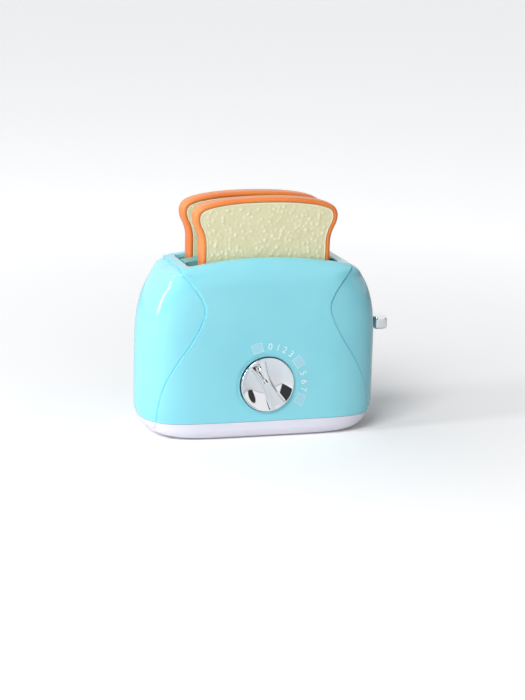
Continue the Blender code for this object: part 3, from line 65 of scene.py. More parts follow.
# Body, in millimetres, the same form as the solids have
HALF_LENGTH = 97.5
HALF_DEPTH = 38.0
LIP_LENGTH = 62.0
LIP_DEPTH = 25.0
LIP_Z = 135.7
CROWN = 6.0
LIP_WIDTH = 1.0
LIP_ROUND = 0.95
END_CORNER = 24.0
SIDE_CORNER = 8.0
END_RISE = 66.0
SIDE_RISE = 18.0
MID_HEIGHT = 60.0
WALL_POWERS = (6.5, 2.2)
LIP_POWERS = (28.0, 11.5)
OPENING_POWERS = (41.0, 16.0)
SHOULDER_POWERS = (2.6, 2.2)
STEP = 1.0
STEP_HALF_RUN = 0.38
GROOVE_DEPTH = 0.6
GROOVE_OUT = 0.8
GROOVE_HALF = 0.55
SKIN = 3.0
PANEL_EDGE = (
    (-7.085, 85.800),
    (8.502, 85.800),
    (22.672, 85.215),
    (38.259, 82.388),
    (51.012, 77.318),
    (64.332, 69.810),
    (76.518, 61.620),
    (89.271, 54.600),
    (99.190, 50.895),
    (105.566, 50.602),
    (111.943, 52.845),
    (118.319, 56.550),
    (124.696, 61.620),
    (131.781, 67.470),
    (136.740, 69.810),
    (153.036, 72.150),
)
SEAM_GAP = 0.3
BASE_Z = 13.7
DIAL_Z = 43.2
WELL = 22.3
DISH_RING = 26.0
DISH_RING_DEPTH = 0.7

# Sizes of the patterns in the materials, in millimetres
CLOUD_MM = 1000 / 18
CRUMB_CLOUD_MM = 9.0
CRUMB_GRAIN_MM = 0.9
CRUMB_GRAIN_DEPTH = 0.06


def linear(code):
    """Linear RGB of an sRGB colour written as six hex digits."""
    shares = [int(code[i : i + 2], 16) / 255 for i in (0, 2, 4)]
    return [s / 12.92 if s <= 0.04045 else ((s + 0.055) / 1.055) ** 2.4 for s in shares]


def node(tree, kind, settings=None, **links):
    """Adds a node. Settings are attributes or inputs by name, and links are inputs by name, _ for a space."""
    made = tree.nodes.new(kind)
    for name, value in (settings or {}).items():
        if hasattr(made, name):
            setattr(made, name, value)
        else:
            key = int(name) if name.isdigit() else name
            made.inputs[key].default_value = value
    for name, socket in links.items():
        key = int(name[1:]) if name[0] == "n" and name[1:].isdigit() else name.replace("_", " ")
        tree.links.new(made.inputs[key], socket)
    return made


def new_material(name, settings):
    material = bpy.data.materials.new(name)
    material.use_nodes = True
    tree = material.node_tree
    shader = tree.nodes["Principled BSDF"]
    for key, value in settings.items():
        shader.inputs[key].default_value = value
    return material, tree, shader


def coordinates(tree):
    return tree.nodes.new("ShaderNodeTexCoord").outputs["Object"]


def raise_grain(tree, shader, height, depth_mm):
    """Bumps the surface by this many millimetres where the pattern is at its highest."""
    bump = node(tree, "ShaderNodeBump", {"Strength": 1.0, "Distance": depth_mm * MM}, Height=height)
    tree.links.new(shader.inputs["Normal"], bump.outputs["Normal"])


def moulded_plastic(name, code, deep, roughness, grain_mm, grain_depth):
    """Injection-moulded plastic: one even colour with a very slight cloud in it, a clear gloss, and a
    surface that is not quite flat, so that reflections waver a little."""
    material, tree, shader = new_material(name, {"Roughness": roughness, "IOR": 1.53})
    place = coordinates(tree)
    cloud = node(tree, "ShaderNodeTexNoise", {"Scale": 1 / (CLOUD_MM * MM), "Detail": 2.0}, Vector=place)
    ramp = node(tree, "ShaderNodeValToRGB", None, Fac=cloud.outputs["Fac"])
    ramp.color_ramp.elements[0].color = (*linear(deep), 1)
    ramp.color_ramp.elements[1].color = (*linear(code), 1)
    ramp.color_ramp.elements[0].position = 0.30
    ramp.color_ramp.elements[1].position = 0.62
    tree.links.new(shader.inputs["Base Color"], ramp.outputs["Color"])
    grain = node(tree, "ShaderNodeTexNoise", {"Scale": 1 / (grain_mm * MM), "Detail": 1.0}, Vector=place)
    raise_grain(tree, shader, grain.outputs["Fac"], grain_depth)
    return material


TURQUOISE = moulded_plastic("glossy_turquoise_abs", "90DFEC", "8ADAE9", 0.13, 14.0, 0.012)
# The same turquoise made matt and painted darker, as painted shade inside the slots
SHADED_TURQUOISE = moulded_plastic("turquoise_abs_matt_with_painted_shade_in_the_slots", "66B7B9", "5AA9AA", 0.4, 3.0, 0.01)
LAVENDER = moulded_plastic("glossy_lavender_white_abs", "ECE9F4", "E8E5F1", 0.17, 14.0, 0.012)
CRUST = moulded_plastic("orange_crust_plastic", "F08A40", "E4732C", 0.34, 1.2, 0.02)
NYLON = moulded_plastic("moulded_white_nylon", "E9E7DF", "E2E0D6", 0.42, 0.8, 0.01)


def crumb_plastic():
    """Cream plastic pressed with soft low pimples. Its colour is painted paler where the pimples stand proud,
    a painted highlight on their tops, and paler along the border ridge.
    """
    material, tree, shader = new_material("pimpled_cream_crumb_plastic", {"Roughness": 0.42, "IOR": 1.5})
    place = coordinates(tree)
    # The pimples' height, which paints their tops paler as a painted highlight, and the border ridge paler
    rise = node(tree, "ShaderNodeAttribute", {"attribute_name": "rise"})
    wide = {"Scale": 1 / (CRUMB_CLOUD_MM * MM), "Detail": 3.0}
    cloud = node(tree, "ShaderNodeTexNoise", wide, Vector=place)
    share = node(
        tree,
        "ShaderNodeMath",
        {"operation": "MULTIPLY_ADD", "1": 0.30, "2": -0.10},
        n0=cloud.outputs["Fac"],
    )
    total = node(tree, "ShaderNodeMath", {"operation": "ADD"}, n0=share.outputs[0], n1=rise.outputs["Fac"])
    ramp = node(tree, "ShaderNodeValToRGB", None, Fac=total.outputs[0])
    ramp.color_ramp.elements[0].color = (*linear("DFDAB0"), 1)
    ramp.color_ramp.elements[1].color = (*linear("F9F4D8"), 1)
    tree.links.new(shader.inputs["Base Color"], ramp.outputs["Color"])
    fine = {"Scale": 1 / (CRUMB_GRAIN_MM * MM), "Detail": 2.0}
    grain = node(tree, "ShaderNodeTexNoise", fine, Vector=place)
    raise_grain(tree, shader, grain.outputs["Fac"], CRUMB_GRAIN_DEPTH)
    return material


def metal(name, code, roughness, grain_mm, grain_depth):
    """Bare or plated metal, with a fine unevenness that only shows in its reflections."""
    material, tree, shader = new_material(name, {"Roughness": roughness, "Metallic": 1.0})
    shader.inputs["Base Color"].default_value = (*linear(code), 1)
    place = coordinates(tree)
    grain = node(tree, "ShaderNodeTexNoise", {"Scale": 1 / (grain_mm * MM), "Detail": 2.0}, Vector=place)
    raise_grain(tree, shader, grain.outputs["Fac"], grain_depth)
    return material


CRUMB = crumb_plastic()
CHROME = metal("chrome_on_abs", "E6E8EC", 0.035, 9.0, 0.01)
STEEL = metal("drawn_steel", "B9BBBD", 0.3, 0.5, 0.004)
BRASS = metal("stamped_brass", "CDAA5E", 0.3, 0.6, 0.004)


def pad_print_ink(name, code):
    """A thin even film of ink, less glossy than the plastic under it."""
    material, _, shader = new_material(name, {"Roughness": 0.4})
    shader.inputs["Base Color"].default_value = (*linear(code), 1)
    return material


PRINT = pad_print_ink("white_pad_print_ink", "F4F8FB")
PALE_PRINT = pad_print_ink("pale_lavender_pad_print_ink", "A6DDEB")
PRINT_SOFT = pad_print_ink("half_strength_white_pad_print_ink", "BDEBF4")


# The body's outer form, worked out at any point of it
def scale_of(cosine, sine, power_x, power_y):
    """How far along each direction the superellipse with these powers lies."""
    reach = 1 / np.maximum(np.abs(cosine), np.abs(sine))
    for _ in range(14):
        a = (reach * np.abs(cosine)) ** power_x
        b = (reach * np.abs(sine)) ** power_y
        slope = (power_x * a + power_y * b) / reach
        reach = np.maximum(0.2, reach - (a + b - 1) / slope)
    return reach


def curve_through(given, before, after, steps):
    """Points close together on a smooth curve through the given ones. It comes from one more point
    and leads on to another."""
    ends = [before, *given, after]
    made = []
    for i in range(len(given) - 1):
        back, start, end, ahead = ends[i : i + 4]
        for step in range(steps):
            t = step / steps
            made.append(
                (
                    2 * start
                    + (end - back) * t
                    + (2 * back - 5 * start + 4 * end - ahead) * t**2
                    + (3 * start - back - 3 * end + ahead) * t**3
                )
                / 2
            )
    made.append(given[-1])
    return made


def edge_points():
    """Points close together along the right edge of the raised panel."""
    given = [Vector((x, z)) for z, x in PANEL_EDGE]
    return np.array([tuple(p) for p in curve_through(given, given[0], given[-1], 14)])


EDGE = edge_points()


def beyond_edge(x, z):
    """Signed distance from the edge of the raised panel, negative on the panel."""
    here = np.stack([np.abs(x), z], 1)
    start, end = EDGE[:-1], EDGE[1:]
    best = np.full(len(here), 1e9)
    sign = np.ones(len(here))
    for a, b in zip(start, end):
        way = b - a
        share = np.clip(((here - a) @ way) / (way @ way), 0, 1)
        offset = here - (a + share[:, None] * way)
        away = np.hypot(offset[:, 0], offset[:, 1])
        side = way[0] * offset[:, 1] - way[1] * offset[:, 0]
        closer = away < best
        best = np.where(closer, away, best)
        sign = np.where(closer, np.where(side < 0, 1.0, -1.0), sign)
    return best * sign


def smooth_share(value):
    value = np.clip(value, 0, 1)
    return value * value * (3 - 2 * value)


def lip_path(beyond):
    """How far in and how far down the lip's section is, this far past its outer edge."""
    flat = LIP_WIDTH - LIP_ROUND
    turn = np.clip((beyond - flat) / LIP_ROUND, 0, math.pi / 2)
    inward = np.clip(beyond, 0, flat) + LIP_ROUND * np.sin(turn)
    down = LIP_ROUND * (1 - np.cos(turn)) + np.clip(beyond - flat - LIP_ROUND * math.pi / 2, 0, None)
    return inward, down


def on_body(cosine, sine, height, inset):
    """The body's point in this direction of the plan, at this height of the raised form, moved in by
    the inset."""
    beyond = np.clip(height - LIP_Z, 0, None)
    height = np.minimum(height, LIP_Z)
    top_share = (height - MID_HEIGHT) / (LIP_Z - SIDE_RISE - MID_HEIGHT)
    lift = np.clip(1 - height / SIDE_CORNER, 0, 1) - np.clip(top_share, 0, 1)
    z = height + inset * lift
    lip_z = LIP_Z - inset
    half_length, half_depth = HALF_LENGTH - inset, HALF_DEPTH - inset
    lip_length, lip_depth = LIP_LENGTH - inset, LIP_DEPTH - inset
    end_corner, side_corner = END_CORNER - inset, SIDE_CORNER - inset
    end_low = np.clip(end_corner - (z - inset), 0, None)
    side_low = np.clip(side_corner - (z - inset), 0, None)
    end_share = np.clip((z - (lip_z - END_RISE)) / END_RISE, 0, 1)
    side_share = np.clip((z - (lip_z - SIDE_RISE)) / SIDE_RISE, 0, 1)
    end_round = (1 - end_share ** SHOULDER_POWERS[0]) ** (1 / SHOULDER_POWERS[1])
    side_round = np.sqrt(np.clip(1 - side_share**2, 0, None))
    half_x = lip_length + (half_length - lip_length) * end_round
    half_x = half_x - (end_corner - np.sqrt(np.clip(end_corner**2 - end_low**2, 0, None)))
    half_y = lip_depth + (half_depth - lip_depth) * side_round
    half_y = half_y - (side_corner - np.sqrt(np.clip(side_corner**2 - side_low**2, 0, None)))
    power_x = WALL_POWERS[0] + (LIP_POWERS[0] - WALL_POWERS[0]) * side_share**4
    power_y = WALL_POWERS[1] + (LIP_POWERS[1] - WALL_POWERS[1]) * side_share**4
    inner = smooth_share(beyond / (LIP_WIDTH + LIP_ROUND / 2))
    power_x = power_x + (OPENING_POWERS[0] - power_x) * inner
    power_y = power_y + (OPENING_POWERS[1] - power_y) * inner
    reach = scale_of(cosine, sine, power_x, power_y)
    inward, down = lip_path(beyond)
    x = (half_x - inward) * reach * cosine
    y = (half_y - inward) * reach * sine
    crown = CROWN * end_share**2 * (1 - (x / half_x) ** 2)
    return np.stack([x, y, z + crown - down], 1)


def skin_point(cosine, sine, height):
    """The body's point with the step at the panel's edge, and the shallow dish round the dial."""
    length = np.hypot(cosine, sine)
    cosine, sine = cosine / length, sine / length
    height = np.clip(height, 0, None)
    first = on_body(cosine, sine, height, np.zeros_like(height))
    away = beyond_edge(first[:, 0], first[:, 2])
    inset = STEP * smooth_share((away + STEP_HALF_RUN) / (2 * STEP_HALF_RUN))
    inset = inset + GROOVE_DEPTH * np.exp(-(((away - GROOVE_OUT) / GROOVE_HALF) ** 2))
    point = on_body(cosine, sine, height, inset)
    radius = np.hypot(point[:, 0], point[:, 2] - DIAL_Z)
    dish = DISH_RING_DEPTH * smooth_share((DISH_RING - radius) / (DISH_RING - WELL))
    point[:, 1] += np.where(point[:, 1] < -HALF_DEPTH / 2, dish, 0)
    return point


def plan_directions(count):
    """Directions round the plan, closer together where it bends."""
    turns = np.linspace(0, math.pi / 2, 800)
    flat = on_body(np.cos(turns), np.sin(turns), np.full(800, 50.0), np.zeros(800))
    steps = np.diff(flat[:, :2], axis=0)
    along = np.hypot(steps[:, 0], steps[:, 1])
    heading = np.unwrap(np.arctan2(steps[:, 1], steps[:, 0]))
    bend = np.abs(np.diff(heading, prepend=heading[0]))
    marks = np.concatenate([[0], np.cumsum(along / along.sum() + 0.8 * bend / bend.sum())])
    quarter = np.interp(np.linspace(0, marks[-1], count // 4 + 1), marks, turns)
    half = np.concatenate([quarter, math.pi - quarter[::-1][1:]])
    return np.concatenate([half, half[1:-1] + math.pi])


def row_heights():
    def bent(count):
        return 1 - np.cos(np.linspace(0, math.pi / 2, count + 1))

    rows = list(SIDE_CORNER * bent(9))
    rows += [h for h in END_CORNER * bent(12) if h > SIDE_CORNER + 0.8]
    rows += list(np.linspace(END_CORNER + 2.5, LIP_Z - END_RISE - 1.5, 16))
    rise = LIP_Z - END_RISE + END_RISE * np.sin(np.linspace(0, math.pi / 2, 30))
    rows += [h for h in rise if h < LIP_Z - SIDE_RISE - 0.8]
    rows += list(LIP_Z - SIDE_RISE + SIDE_RISE * np.sin(np.linspace(0, math.pi / 2, 15)))
    flat = LIP_WIDTH - LIP_ROUND
    rows.append(LIP_Z + flat)
    rows += [LIP_Z + flat + LIP_ROUND * math.pi / 2 * k / 4 for k in range(1, 5)]
    rows += [LIP_Z + flat + LIP_ROUND * math.pi / 2 + deep for deep in (6.0, 12.0, 18.0)]
    return rows


def whole_body():
    """The closed outer form of the body, fine where its surface changes fast."""
    shape = bmesh.new()
    east = shape.verts.layers.float.new("east")
    north = shape.verts.layers.float.new("north")
    level = shape.verts.layers.float.new("level")
    directions = plan_directions(176)
    rows = []
    for height in row_heights():
        row = []
        for turn in directions:
            vert = shape.verts.new((0, 0, 0))
            vert[east], vert[north], vert[level] = math.cos(turn), math.sin(turn), height
            row.append(vert)
        rows.append(row)
    for lower, upper in zip(rows, rows[1:]):
        for i in range(len(lower)):
            j = (i + 1) % len(lower)
            shape.faces.new((lower[i], lower[j], upper[j], upper[i]))

    def settle():
        values = np.array([(v[east], v[north], v[level]) for v in shape.verts])
        points = skin_point(values[:, 0], values[:, 1], values[:, 2])
        for vert, point in zip(shape.verts, points):
            vert.co = point
        return values, points

    _, points = settle()
    for reach in (4.2, 2.4, 1.6):
        shape.verts.index_update()
        away = beyond_edge(points[:, 0], points[:, 2])
        radius = np.hypot(points[:, 0], points[:, 2] - DIAL_Z)
        on_front = points[:, 1] < -HALF_DEPTH / 2
        near = np.abs(away) < reach + 0.5
        if reach > 1.5:
            near |= on_front & (radius < DISH_RING + reach) & (radius > WELL - reach)
        near &= points[:, 2] > -1
        edges = [e for e in shape.edges if near[e.verts[0].index] and near[e.verts[1].index]]
        bmesh.ops.subdivide_edges(shape, edges=edges, cuts=1, use_grid_fill=True)
        _, points = settle()

    values, points = settle()
    small = 2e-4
    side = np.stack([-values[:, 1], values[:, 0]], 1) * small
    ahead = skin_point(values[:, 0] + side[:, 0], values[:, 1] + side[:, 1], values[:, 2])
    behind = skin_point(values[:, 0] - side[:, 0], values[:, 1] - side[:, 1], values[:, 2])
    above = skin_point(values[:, 0], values[:, 1], values[:, 2] + 0.004)
    below = skin_point(values[:, 0], values[:, 1], values[:, 2] - 0.004)
    normals = np.cross(ahead - behind, above - below)
    normals /= np.linalg.norm(normals, axis=1)[:, None]
    shape.verts.index_update()
    shape.verts.ensure_lookup_table()
    skin = BVHTree.FromBMesh(shape)
    corners = [[v.index for v in f.verts] for f in shape.faces]

    boundary = [e for e in shape.edges if e.is_boundary]
    for part in ([e for e in boundary if e.verts[0].co.z < 5], [e for e in boundary if e.verts[0].co.z > 50]):
        ends = {v for e in part for v in e.verts}
        mirrored = {(round(v.co.x, 3), round(v.co.y, 3)): v for v in ends}
        for edge in part:
            a, b = edge.verts
            if a.co.y + b.co.y >= 0:
                continue
            c = mirrored[(round(b.co.x, 3), round(-b.co.y, 3))]
            d = mirrored[(round(a.co.x, 3), round(-a.co.y, 3))]
            loop = []
            for v in (a, b, c, d):
                if v not in loop:
                    loop.append(v)
            shape.faces.new(loop)
    bmesh.ops.recalc_face_normals(shape, faces=shape.faces)
    return shape, skin, corners, [tuple(v.co) for v in shape.verts], normals


def to_mesh(shape, name):
    """A mesh in metres from a shape in millimetres."""
    bmesh.ops.scale(shape, vec=(MM, MM, MM), verts=shape.verts)
    mesh = bpy.data.meshes.new(name)
    shape.to_mesh(mesh)
    shape.free()
    return mesh


def show(name, mesh, material=None, body=None, replaces=()):
    """Puts a piece in the scene, on its CAD body. Without a body it is a helper."""
    thing = bpy.data.objects.new(name, mesh)
    bpy.context.scene.collection.objects.link(thing)
    if material is not None:
        mesh.materials.clear()
        mesh.materials.append(material)
    if body is not None:
        if replaces:
            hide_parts(*replaces)
        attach(thing, body)
    return thing


def cut_by(shape, place, way):
    """Takes away what lies beyond a plane and closes the cut."""
    geometry = list(shape.verts) + list(shape.edges) + list(shape.faces)
    bmesh.ops.bisect_plane(shape, geom=geometry, dist=1e-5, plane_co=place, plane_no=way, clear_outer=True)
    edges = [e for e in shape.edges if e.is_boundary]
    bmesh.ops.holes_fill(shape, edges=edges, sides=0)
    bmesh.ops.recalc_face_normals(shape, faces=shape.faces)


def bar(start, end, radius, count=32, end_radius=None):
    """A round bar between two points, as a shape in millimetres."""
    shape = bmesh.new()
    way = Vector(end) - Vector(start)
    turn = way.to_track_quat("Z", "Y").to_matrix().to_4x4()
    place = Matrix.Translation((Vector(start) + Vector(end)) / 2) @ turn
    bmesh.ops.create_cone(
        shape,
        cap_ends=True,
        segments=count,
        radius1=radius,
        radius2=radius if end_radius is None else end_radius,
        depth=way.length,
        matrix=place,
    )
    return shape


def box(low, high):
    shape = bmesh.new()
    bmesh.ops.create_cube(shape, size=1.0)
    middle = (Vector(low) + Vector(high)) / 2
    sides = Vector(high) - Vector(low)
    place = Matrix.Translation(middle) @ Matrix.Diagonal((*sides, 1))
    bmesh.ops.transform(shape, matrix=place, verts=shape.verts)
    return shape


def plain_form(inset, count=64, floor=None):
    """A plain closed form of the body, moved in by the inset, for its inside."""
    turns = plan_directions(count)
    heights = [SIDE_CORNER * (1 - math.cos(math.pi / 2 * k / 4)) for k in range(5)]
    heights += [11.0, 14.0, 17.0, 20.5, 24.0, 40.0, 69.7, 85.7, 99.7, 109.7]
    heights += [LIP_Z - SIDE_RISE + SIDE_RISE * math.sin(math.pi / 2 * k / 5) for k in range(6)]
    shape = bmesh.new()
    rows = []
    for height in heights:
        level = np.full(len(turns), height)
        points = on_body(np.cos(turns), np.sin(turns), level, np.full(len(turns), float(inset)))
        if floor is not None:
            points[:, 2] = floor + (points[:, 2] - inset) * (LIP_Z - floor) / (LIP_Z - inset)
        rows.append([shape.verts.new(point) for point in points])
    for lower, upper in zip(rows, rows[1:]):
        for i in range(len(lower)):
            j = (i + 1) % len(lower)
            shape.faces.new((lower[i], lower[j], upper[j], upper[i]))
    shape.faces.new(list(reversed(rows[0])))
    top = rows[-1]
    count = len(top)
    for i in range(count // 2):
        loop = []
        for v in (top[i], top[i + 1], top[count - i - 1], top[-i]):
            if v not in loop:
                loop.append(v)
        shape.faces.new(loop)
    return shape


helpers = []


def helper(shape):
    thing = show("helper", to_mesh(shape, "helper"))
    helpers.append(thing)
    return thing


def combined(thing, steps):
    """Applies Booleans, each with a list of shapes, and gives the mesh that results."""
    for operation, shapes in steps:
        group = bpy.data.collections.new("group")
        bpy.context.scene.collection.children.link(group)
        for shape in shapes:
            tool = helper(shape) if isinstance(shape, bmesh.types.BMesh) else shape
            bpy.context.scene.collection.objects.unlink(tool)
            group.objects.link(tool)
        step = thing.modifiers.new(operation.lower(), "BOOLEAN")
        step.operation = operation
        step.operand_type = "COLLECTION"
        step.collection = group
    bpy.context.view_layer.update()
    made = bpy.data.meshes.new_from_object(thing.evaluated_get(bpy.context.evaluated_depsgraph_get()))
    thing.modifiers.clear()
    return made


def drop_helpers():
    for tool in helpers:
        bpy.data.objects.remove(tool)
    helpers.clear()
    for group in list(bpy.data.collections):
        if group.name.startswith("group"):
            bpy.data.collections.remove(group)


def polish(mesh, skin, corners, points, normals, degrees=32):
    """Gives the outer skin the normals of the true form, so that its gloss is even, and sharp edges
    elsewhere."""
    mesh.shade_smooth()
    mesh.set_sharp_from_angle(angle=math.radians(degrees))
    vert_normal = {}
    for vert in mesh.vertices:
        here = vert.co / MM
        place, _, index, away = skin.find_nearest(here)
        if away > 0.004:
            continue
        loop = corners[index]
        weights = [1 / (1e-6 + (Vector(points[k]) - here).length_squared) for k in loop]
        total = sum(weights)
        normal = Vector((0, 0, 0))
        for weight, k in zip(weights, loop):
            normal += Vector(normals[k]) * (weight / total)
        vert_normal[vert.index] = normal.normalized()
    found = []
    for face in mesh.polygons:
        for k in face.loop_indices:
            normal = vert_normal.get(mesh.loops[k].vertex_index)
            if normal is None or normal.dot(face.normal) < 0.8:
                found.append((0, 0, 0))
            else:
                found.append(tuple(normal))
    mesh.normals_split_custom_set(found)


# What stands in the hollow: screw posts, ribs, the dial's cup and the timer's bosses
POST = 4.4
SCREW_PILOT = 1.5
SCREW_HEAD = 3.4
BASE_SCREWS = [(side * 72.0, depth * 24.0) for side in (-1, 1) for depth in (-1, 1)]
BASE_POST = (18.0, 38.0)
BASE_RIB = (19.6, 37.2)
BASE_RIB_HALF = 0.8
BASE_PILOT_TOP = 28.0
REAR_SCREWS = [(side * 80.0, z) for side in (-1, 1) for z in (28.7, 105.7)]
REAR_PILOT_Y = -12.3
REAR_HEAD_Y = 19.0
CUP_WALL = 2.0
CUP_BACK_Y = -30.2
WELL_FLOOR_Y = -32.2
SHAFT_HOLE = 2.6
TIMER_SCREWS = ((-33.0, 54.7), (29.0, 23.7))
TIMER_BOSS = 3.0
TIMER_PILOT = 1.15
TIMER_PILOT_Y = (-26.2, -34.7)
LATCH_PIN = (57.5, 61.7)
LATCH_BOSS_Y = -27.4
LATCH_PILOT = 1.35
LATCH_PILOT_Y = (-27.1, -32.4)
LEVER_SLOT = ((90.5, -3, 37.7), (101.5, 3, 85.7))
RIM_LOW, RIM_HIGH = 6.85, 17.7
RIM_WALL = 1.4
TRAY_FLOOR = 2.5
HEAD_POCKET = 6.0
ROD_X = 68.0
ROD_POST = 4.2
ROD_SOCKET = 1.65
FAR = 120.0


def inside_form():
    """The hollow of both shells, with the posts, ribs and the cup of the dial left standing in it."""
    front = -HALF_DEPTH
    standing = []
    for x, z in REAR_SCREWS:
        standing.append(bar((x, front, z), (x, HALF_DEPTH, z), POST))
    for x, y in BASE_SCREWS:
        standing.append(bar((x, y, BASE_POST[0]), (x, y, BASE_POST[1]), POST))
        near, far = sorted((y, math.copysign(HALF_DEPTH, y)))
        standing.append(box((x - BASE_RIB_HALF, near, BASE_RIB[0]), (x + BASE_RIB_HALF, far, BASE_RIB[1])))
    standing.append(bar((0, front, DIAL_Z), (0, CUP_BACK_Y, DIAL_Z), WELL + CUP_WALL, 96))
    for x, z in TIMER_SCREWS:
        standing.append(bar((x, front, z), (x, CUP_BACK_Y, z), TIMER_BOSS))
    x, z = LATCH_PIN
    standing.append(bar((x, front, z), (x, LATCH_BOSS_Y, z), TIMER_BOSS))
    hollow = helper(plain_form(SKIN))
    mesh = combined(hollow, [("DIFFERENCE", standing)])
    made = show("hollow", mesh)
    helpers.append(made)
    return made


def shell_cuts(side):
    """What is cut out of the front shell, side -1, or the rear shell, side 1."""
    cuts = [box(*LEVER_SLOT)]
    for x, y in BASE_SCREWS:
        if y * side > 0:
            cuts.append(bar((x, y, 12), (x, y, BASE_PILOT_TOP), SCREW_PILOT, 16))
    for x, z in REAR_SCREWS:
        if side < 0:
            cuts.append(bar((x, 4, z), (x, REAR_PILOT_Y, z), SCREW_PILOT, 16))
        else:
            cuts.append(bar((x, -4, z), (x, 42, z), SCREW_PILOT, 16))
            cuts.append(bar((x, REAR_HEAD_Y, z), (x, 42, z), SCREW_HEAD, 32))
    if side < 0:
        cuts.append(bar((0, -42, DIAL_Z), (0, WELL_FLOOR_Y, DIAL_Z), WELL, 128))
        cuts.append(bar((0, -38, DIAL_Z), (0, -26.2, DIAL_Z), SHAFT_HOLE, 24))
        start, end = TIMER_PILOT_Y
        for x, z in TIMER_SCREWS:
            cuts.append(bar((x, start, z), (x, end, z), TIMER_PILOT, 16))
        x, z = LATCH_PIN
        start, end = LATCH_PILOT_Y
        cuts.append(bar((x, start, z), (x, end, z), LATCH_PILOT, 16))
    return cuts


def make_shells():
    """Both shells and the base tray, cut from one fine form of the whole body."""
    body, skin, corners, points, normals = whole_body()
    hollow = inside_form()
    seam = SEAM_GAP / 2
    for name, side in (("front_shell", -1), ("rear_shell", 1)):
        half = body.copy()
        cut_by(half, (0, 0, BASE_Z + seam), (0, 0, -1))
        cut_by(half, (0, side * seam, 0), (0, -side, 0))
        cuts = shell_cuts(side)
        block = helper(half)
        tool = show("hollow_copy", hollow.data.copy())
        helpers.append(tool)
        mesh = combined(block, [("DIFFERENCE", [tool]), ("DIFFERENCE", cuts)])
        polish(mesh, skin, corners, points, normals)
        show(name + "_skin", mesh, TURQUOISE, "housing", (name,))

    low = body.copy()
    cut_by(low, (0, 0, BASE_Z - seam), (0, 0, 1))
    block = helper(low)
    rim = helper(plain_form(SKIN + SEAM_GAP))
    rim_mesh = combined(rim, [("INTERSECT", [box((-FAR, -FAR, RIM_LOW), (FAR, FAR, RIM_HIGH))])])
    rim_piece = show("rim", rim_mesh)
    helpers.append(rim_piece)
    standing = []
    cuts = []
    for x, y in BASE_SCREWS:
        standing.append(bar((x, y, 0), (x, y, 70), POST))
        cuts.append(bar((x, y, 0), (x, y, 20), SCREW_PILOT, 16))
        cuts.append(bar((x, y, -4), (x, y, HEAD_POCKET), SCREW_HEAD, 32))
    for side in (-1, 1):
        x = side * ROD_X
        standing.append(bar((x, 0, 0), (x, 0, 70), ROD_POST))
        cuts.append(bar((x, 0, HEAD_POCKET), (x, 0, 20), ROD_SOCKET))
    inner = helper(plain_form(SKIN + SEAM_GAP + RIM_WALL, floor=TRAY_FLOOR))
    inner_mesh = combined(inner, [("DIFFERENCE", standing)])
    inner_piece = show("inner", inner_mesh)
    helpers.append(inner_piece)
    mesh = combined(block, [("UNION", [rim_piece]), ("DIFFERENCE", [inner_piece]), ("DIFFERENCE", cuts)])
    polish(mesh, skin, corners, points, normals)
    show("base_tray_skin", mesh, LAVENDER, "housing", ("base_tray",))
    body.free()
    drop_helpers()


make_shells()

FINISHES = {
    "turquoise_abs": TURQUOISE,
    "white_abs": LAVENDER,
    "crust_plastic": CRUST,
    "crumb_plastic": CRUMB,
    "chrome_plate": CHROME,
    "steel": STEEL,
    "brass": BRASS,
    "white_nylon": NYLON,
}
for part in frame["record"]["subparts"]:
    # The slot frame gets the darker turquoise: painted shade for the inside of the slots
    finish = SHADED_TURQUOISE if part["node"] == "slot_frame" else FINISHES[part["material_slot"]]
    materials = frame["nodes"][part["node"]].data.materials
    materials.clear()
    materials.append(finish)


# Bread: both slices have one outline, a hollow crust and a pimpled panel in each face
SLICE_HALF_WIDTH = 57.6
SLICE_HEIGHT = 96.0
SLICE_HALF_THICK = 7.05
SLICE_FOOT = 91.7
FOOT_ROUNDING = 5.4
FOOT_SHARE = 0.918
CRUST_RIM = 3.2
CRUST_ROUNDING = 2.2
CRUST_LEDGE = 1.6
POCKET = 2.0
PANEL_SINK = 0.4
SLICE_CURVE = (
    (0.905, 0.30),
    (0.902, 0.58),
    (0.908, 0.66),
    (0.935, 0.72),
    (0.978, 0.775),
    (1.0, 0.83),
    (0.985, 0.885),
    (0.925, 0.927),
    (0.80, 0.957),
    (0.60, 0.980),
    (0.33, 0.995),
    (0.0, 1.0),
)


def slice_edge(inset):
    """Closed outline of a slice in X and Z above its foot, moved in by the inset."""
    curve = [Vector((FOOT_SHARE * SLICE_HALF_WIDTH, FOOT_ROUNDING))]
    curve += [Vector((x * SLICE_HALF_WIDTH, z * SLICE_HEIGHT)) for x, z in SLICE_CURVE]
    foot_x = curve[0].x - FOOT_ROUNDING
    right = []
    for k in range(8):
        turn = math.pi / 2 * k / 8
        right.append(Vector((foot_x + FOOT_ROUNDING * math.sin(turn), FOOT_ROUNDING * (1 - math.cos(turn)))))
    beyond_top = Vector((-curve[-2].x, curve[-2].y))
    right += curve_through(curve, 2 * curve[0] - curve[1], beyond_top, 8)
    loop = np.array([(p.x, p.y) for p in right + [Vector((-p.x, p.y)) for p in reversed(right[:-1])]])
    way = np.roll(loop, -1, axis=0) - np.roll(loop, 1, axis=0)
    way /= np.linalg.norm(way, axis=1)[:, None]
    return loop + np.stack([-way[:, 1], way[:, 0]], 1) * inset


PIMPLE_SPACING = 2.9
PIMPLE_RISE = 0.62
BORDER_RISE = 0.22
BORDER_FALL = 0.5
CRUMB_COLUMNS = 84
CRUMB_ROWS = 128
BREAD = (("front_slice", -15.35, 1.3, 3), ("rear_slice", 15.35, -1.2, 7))


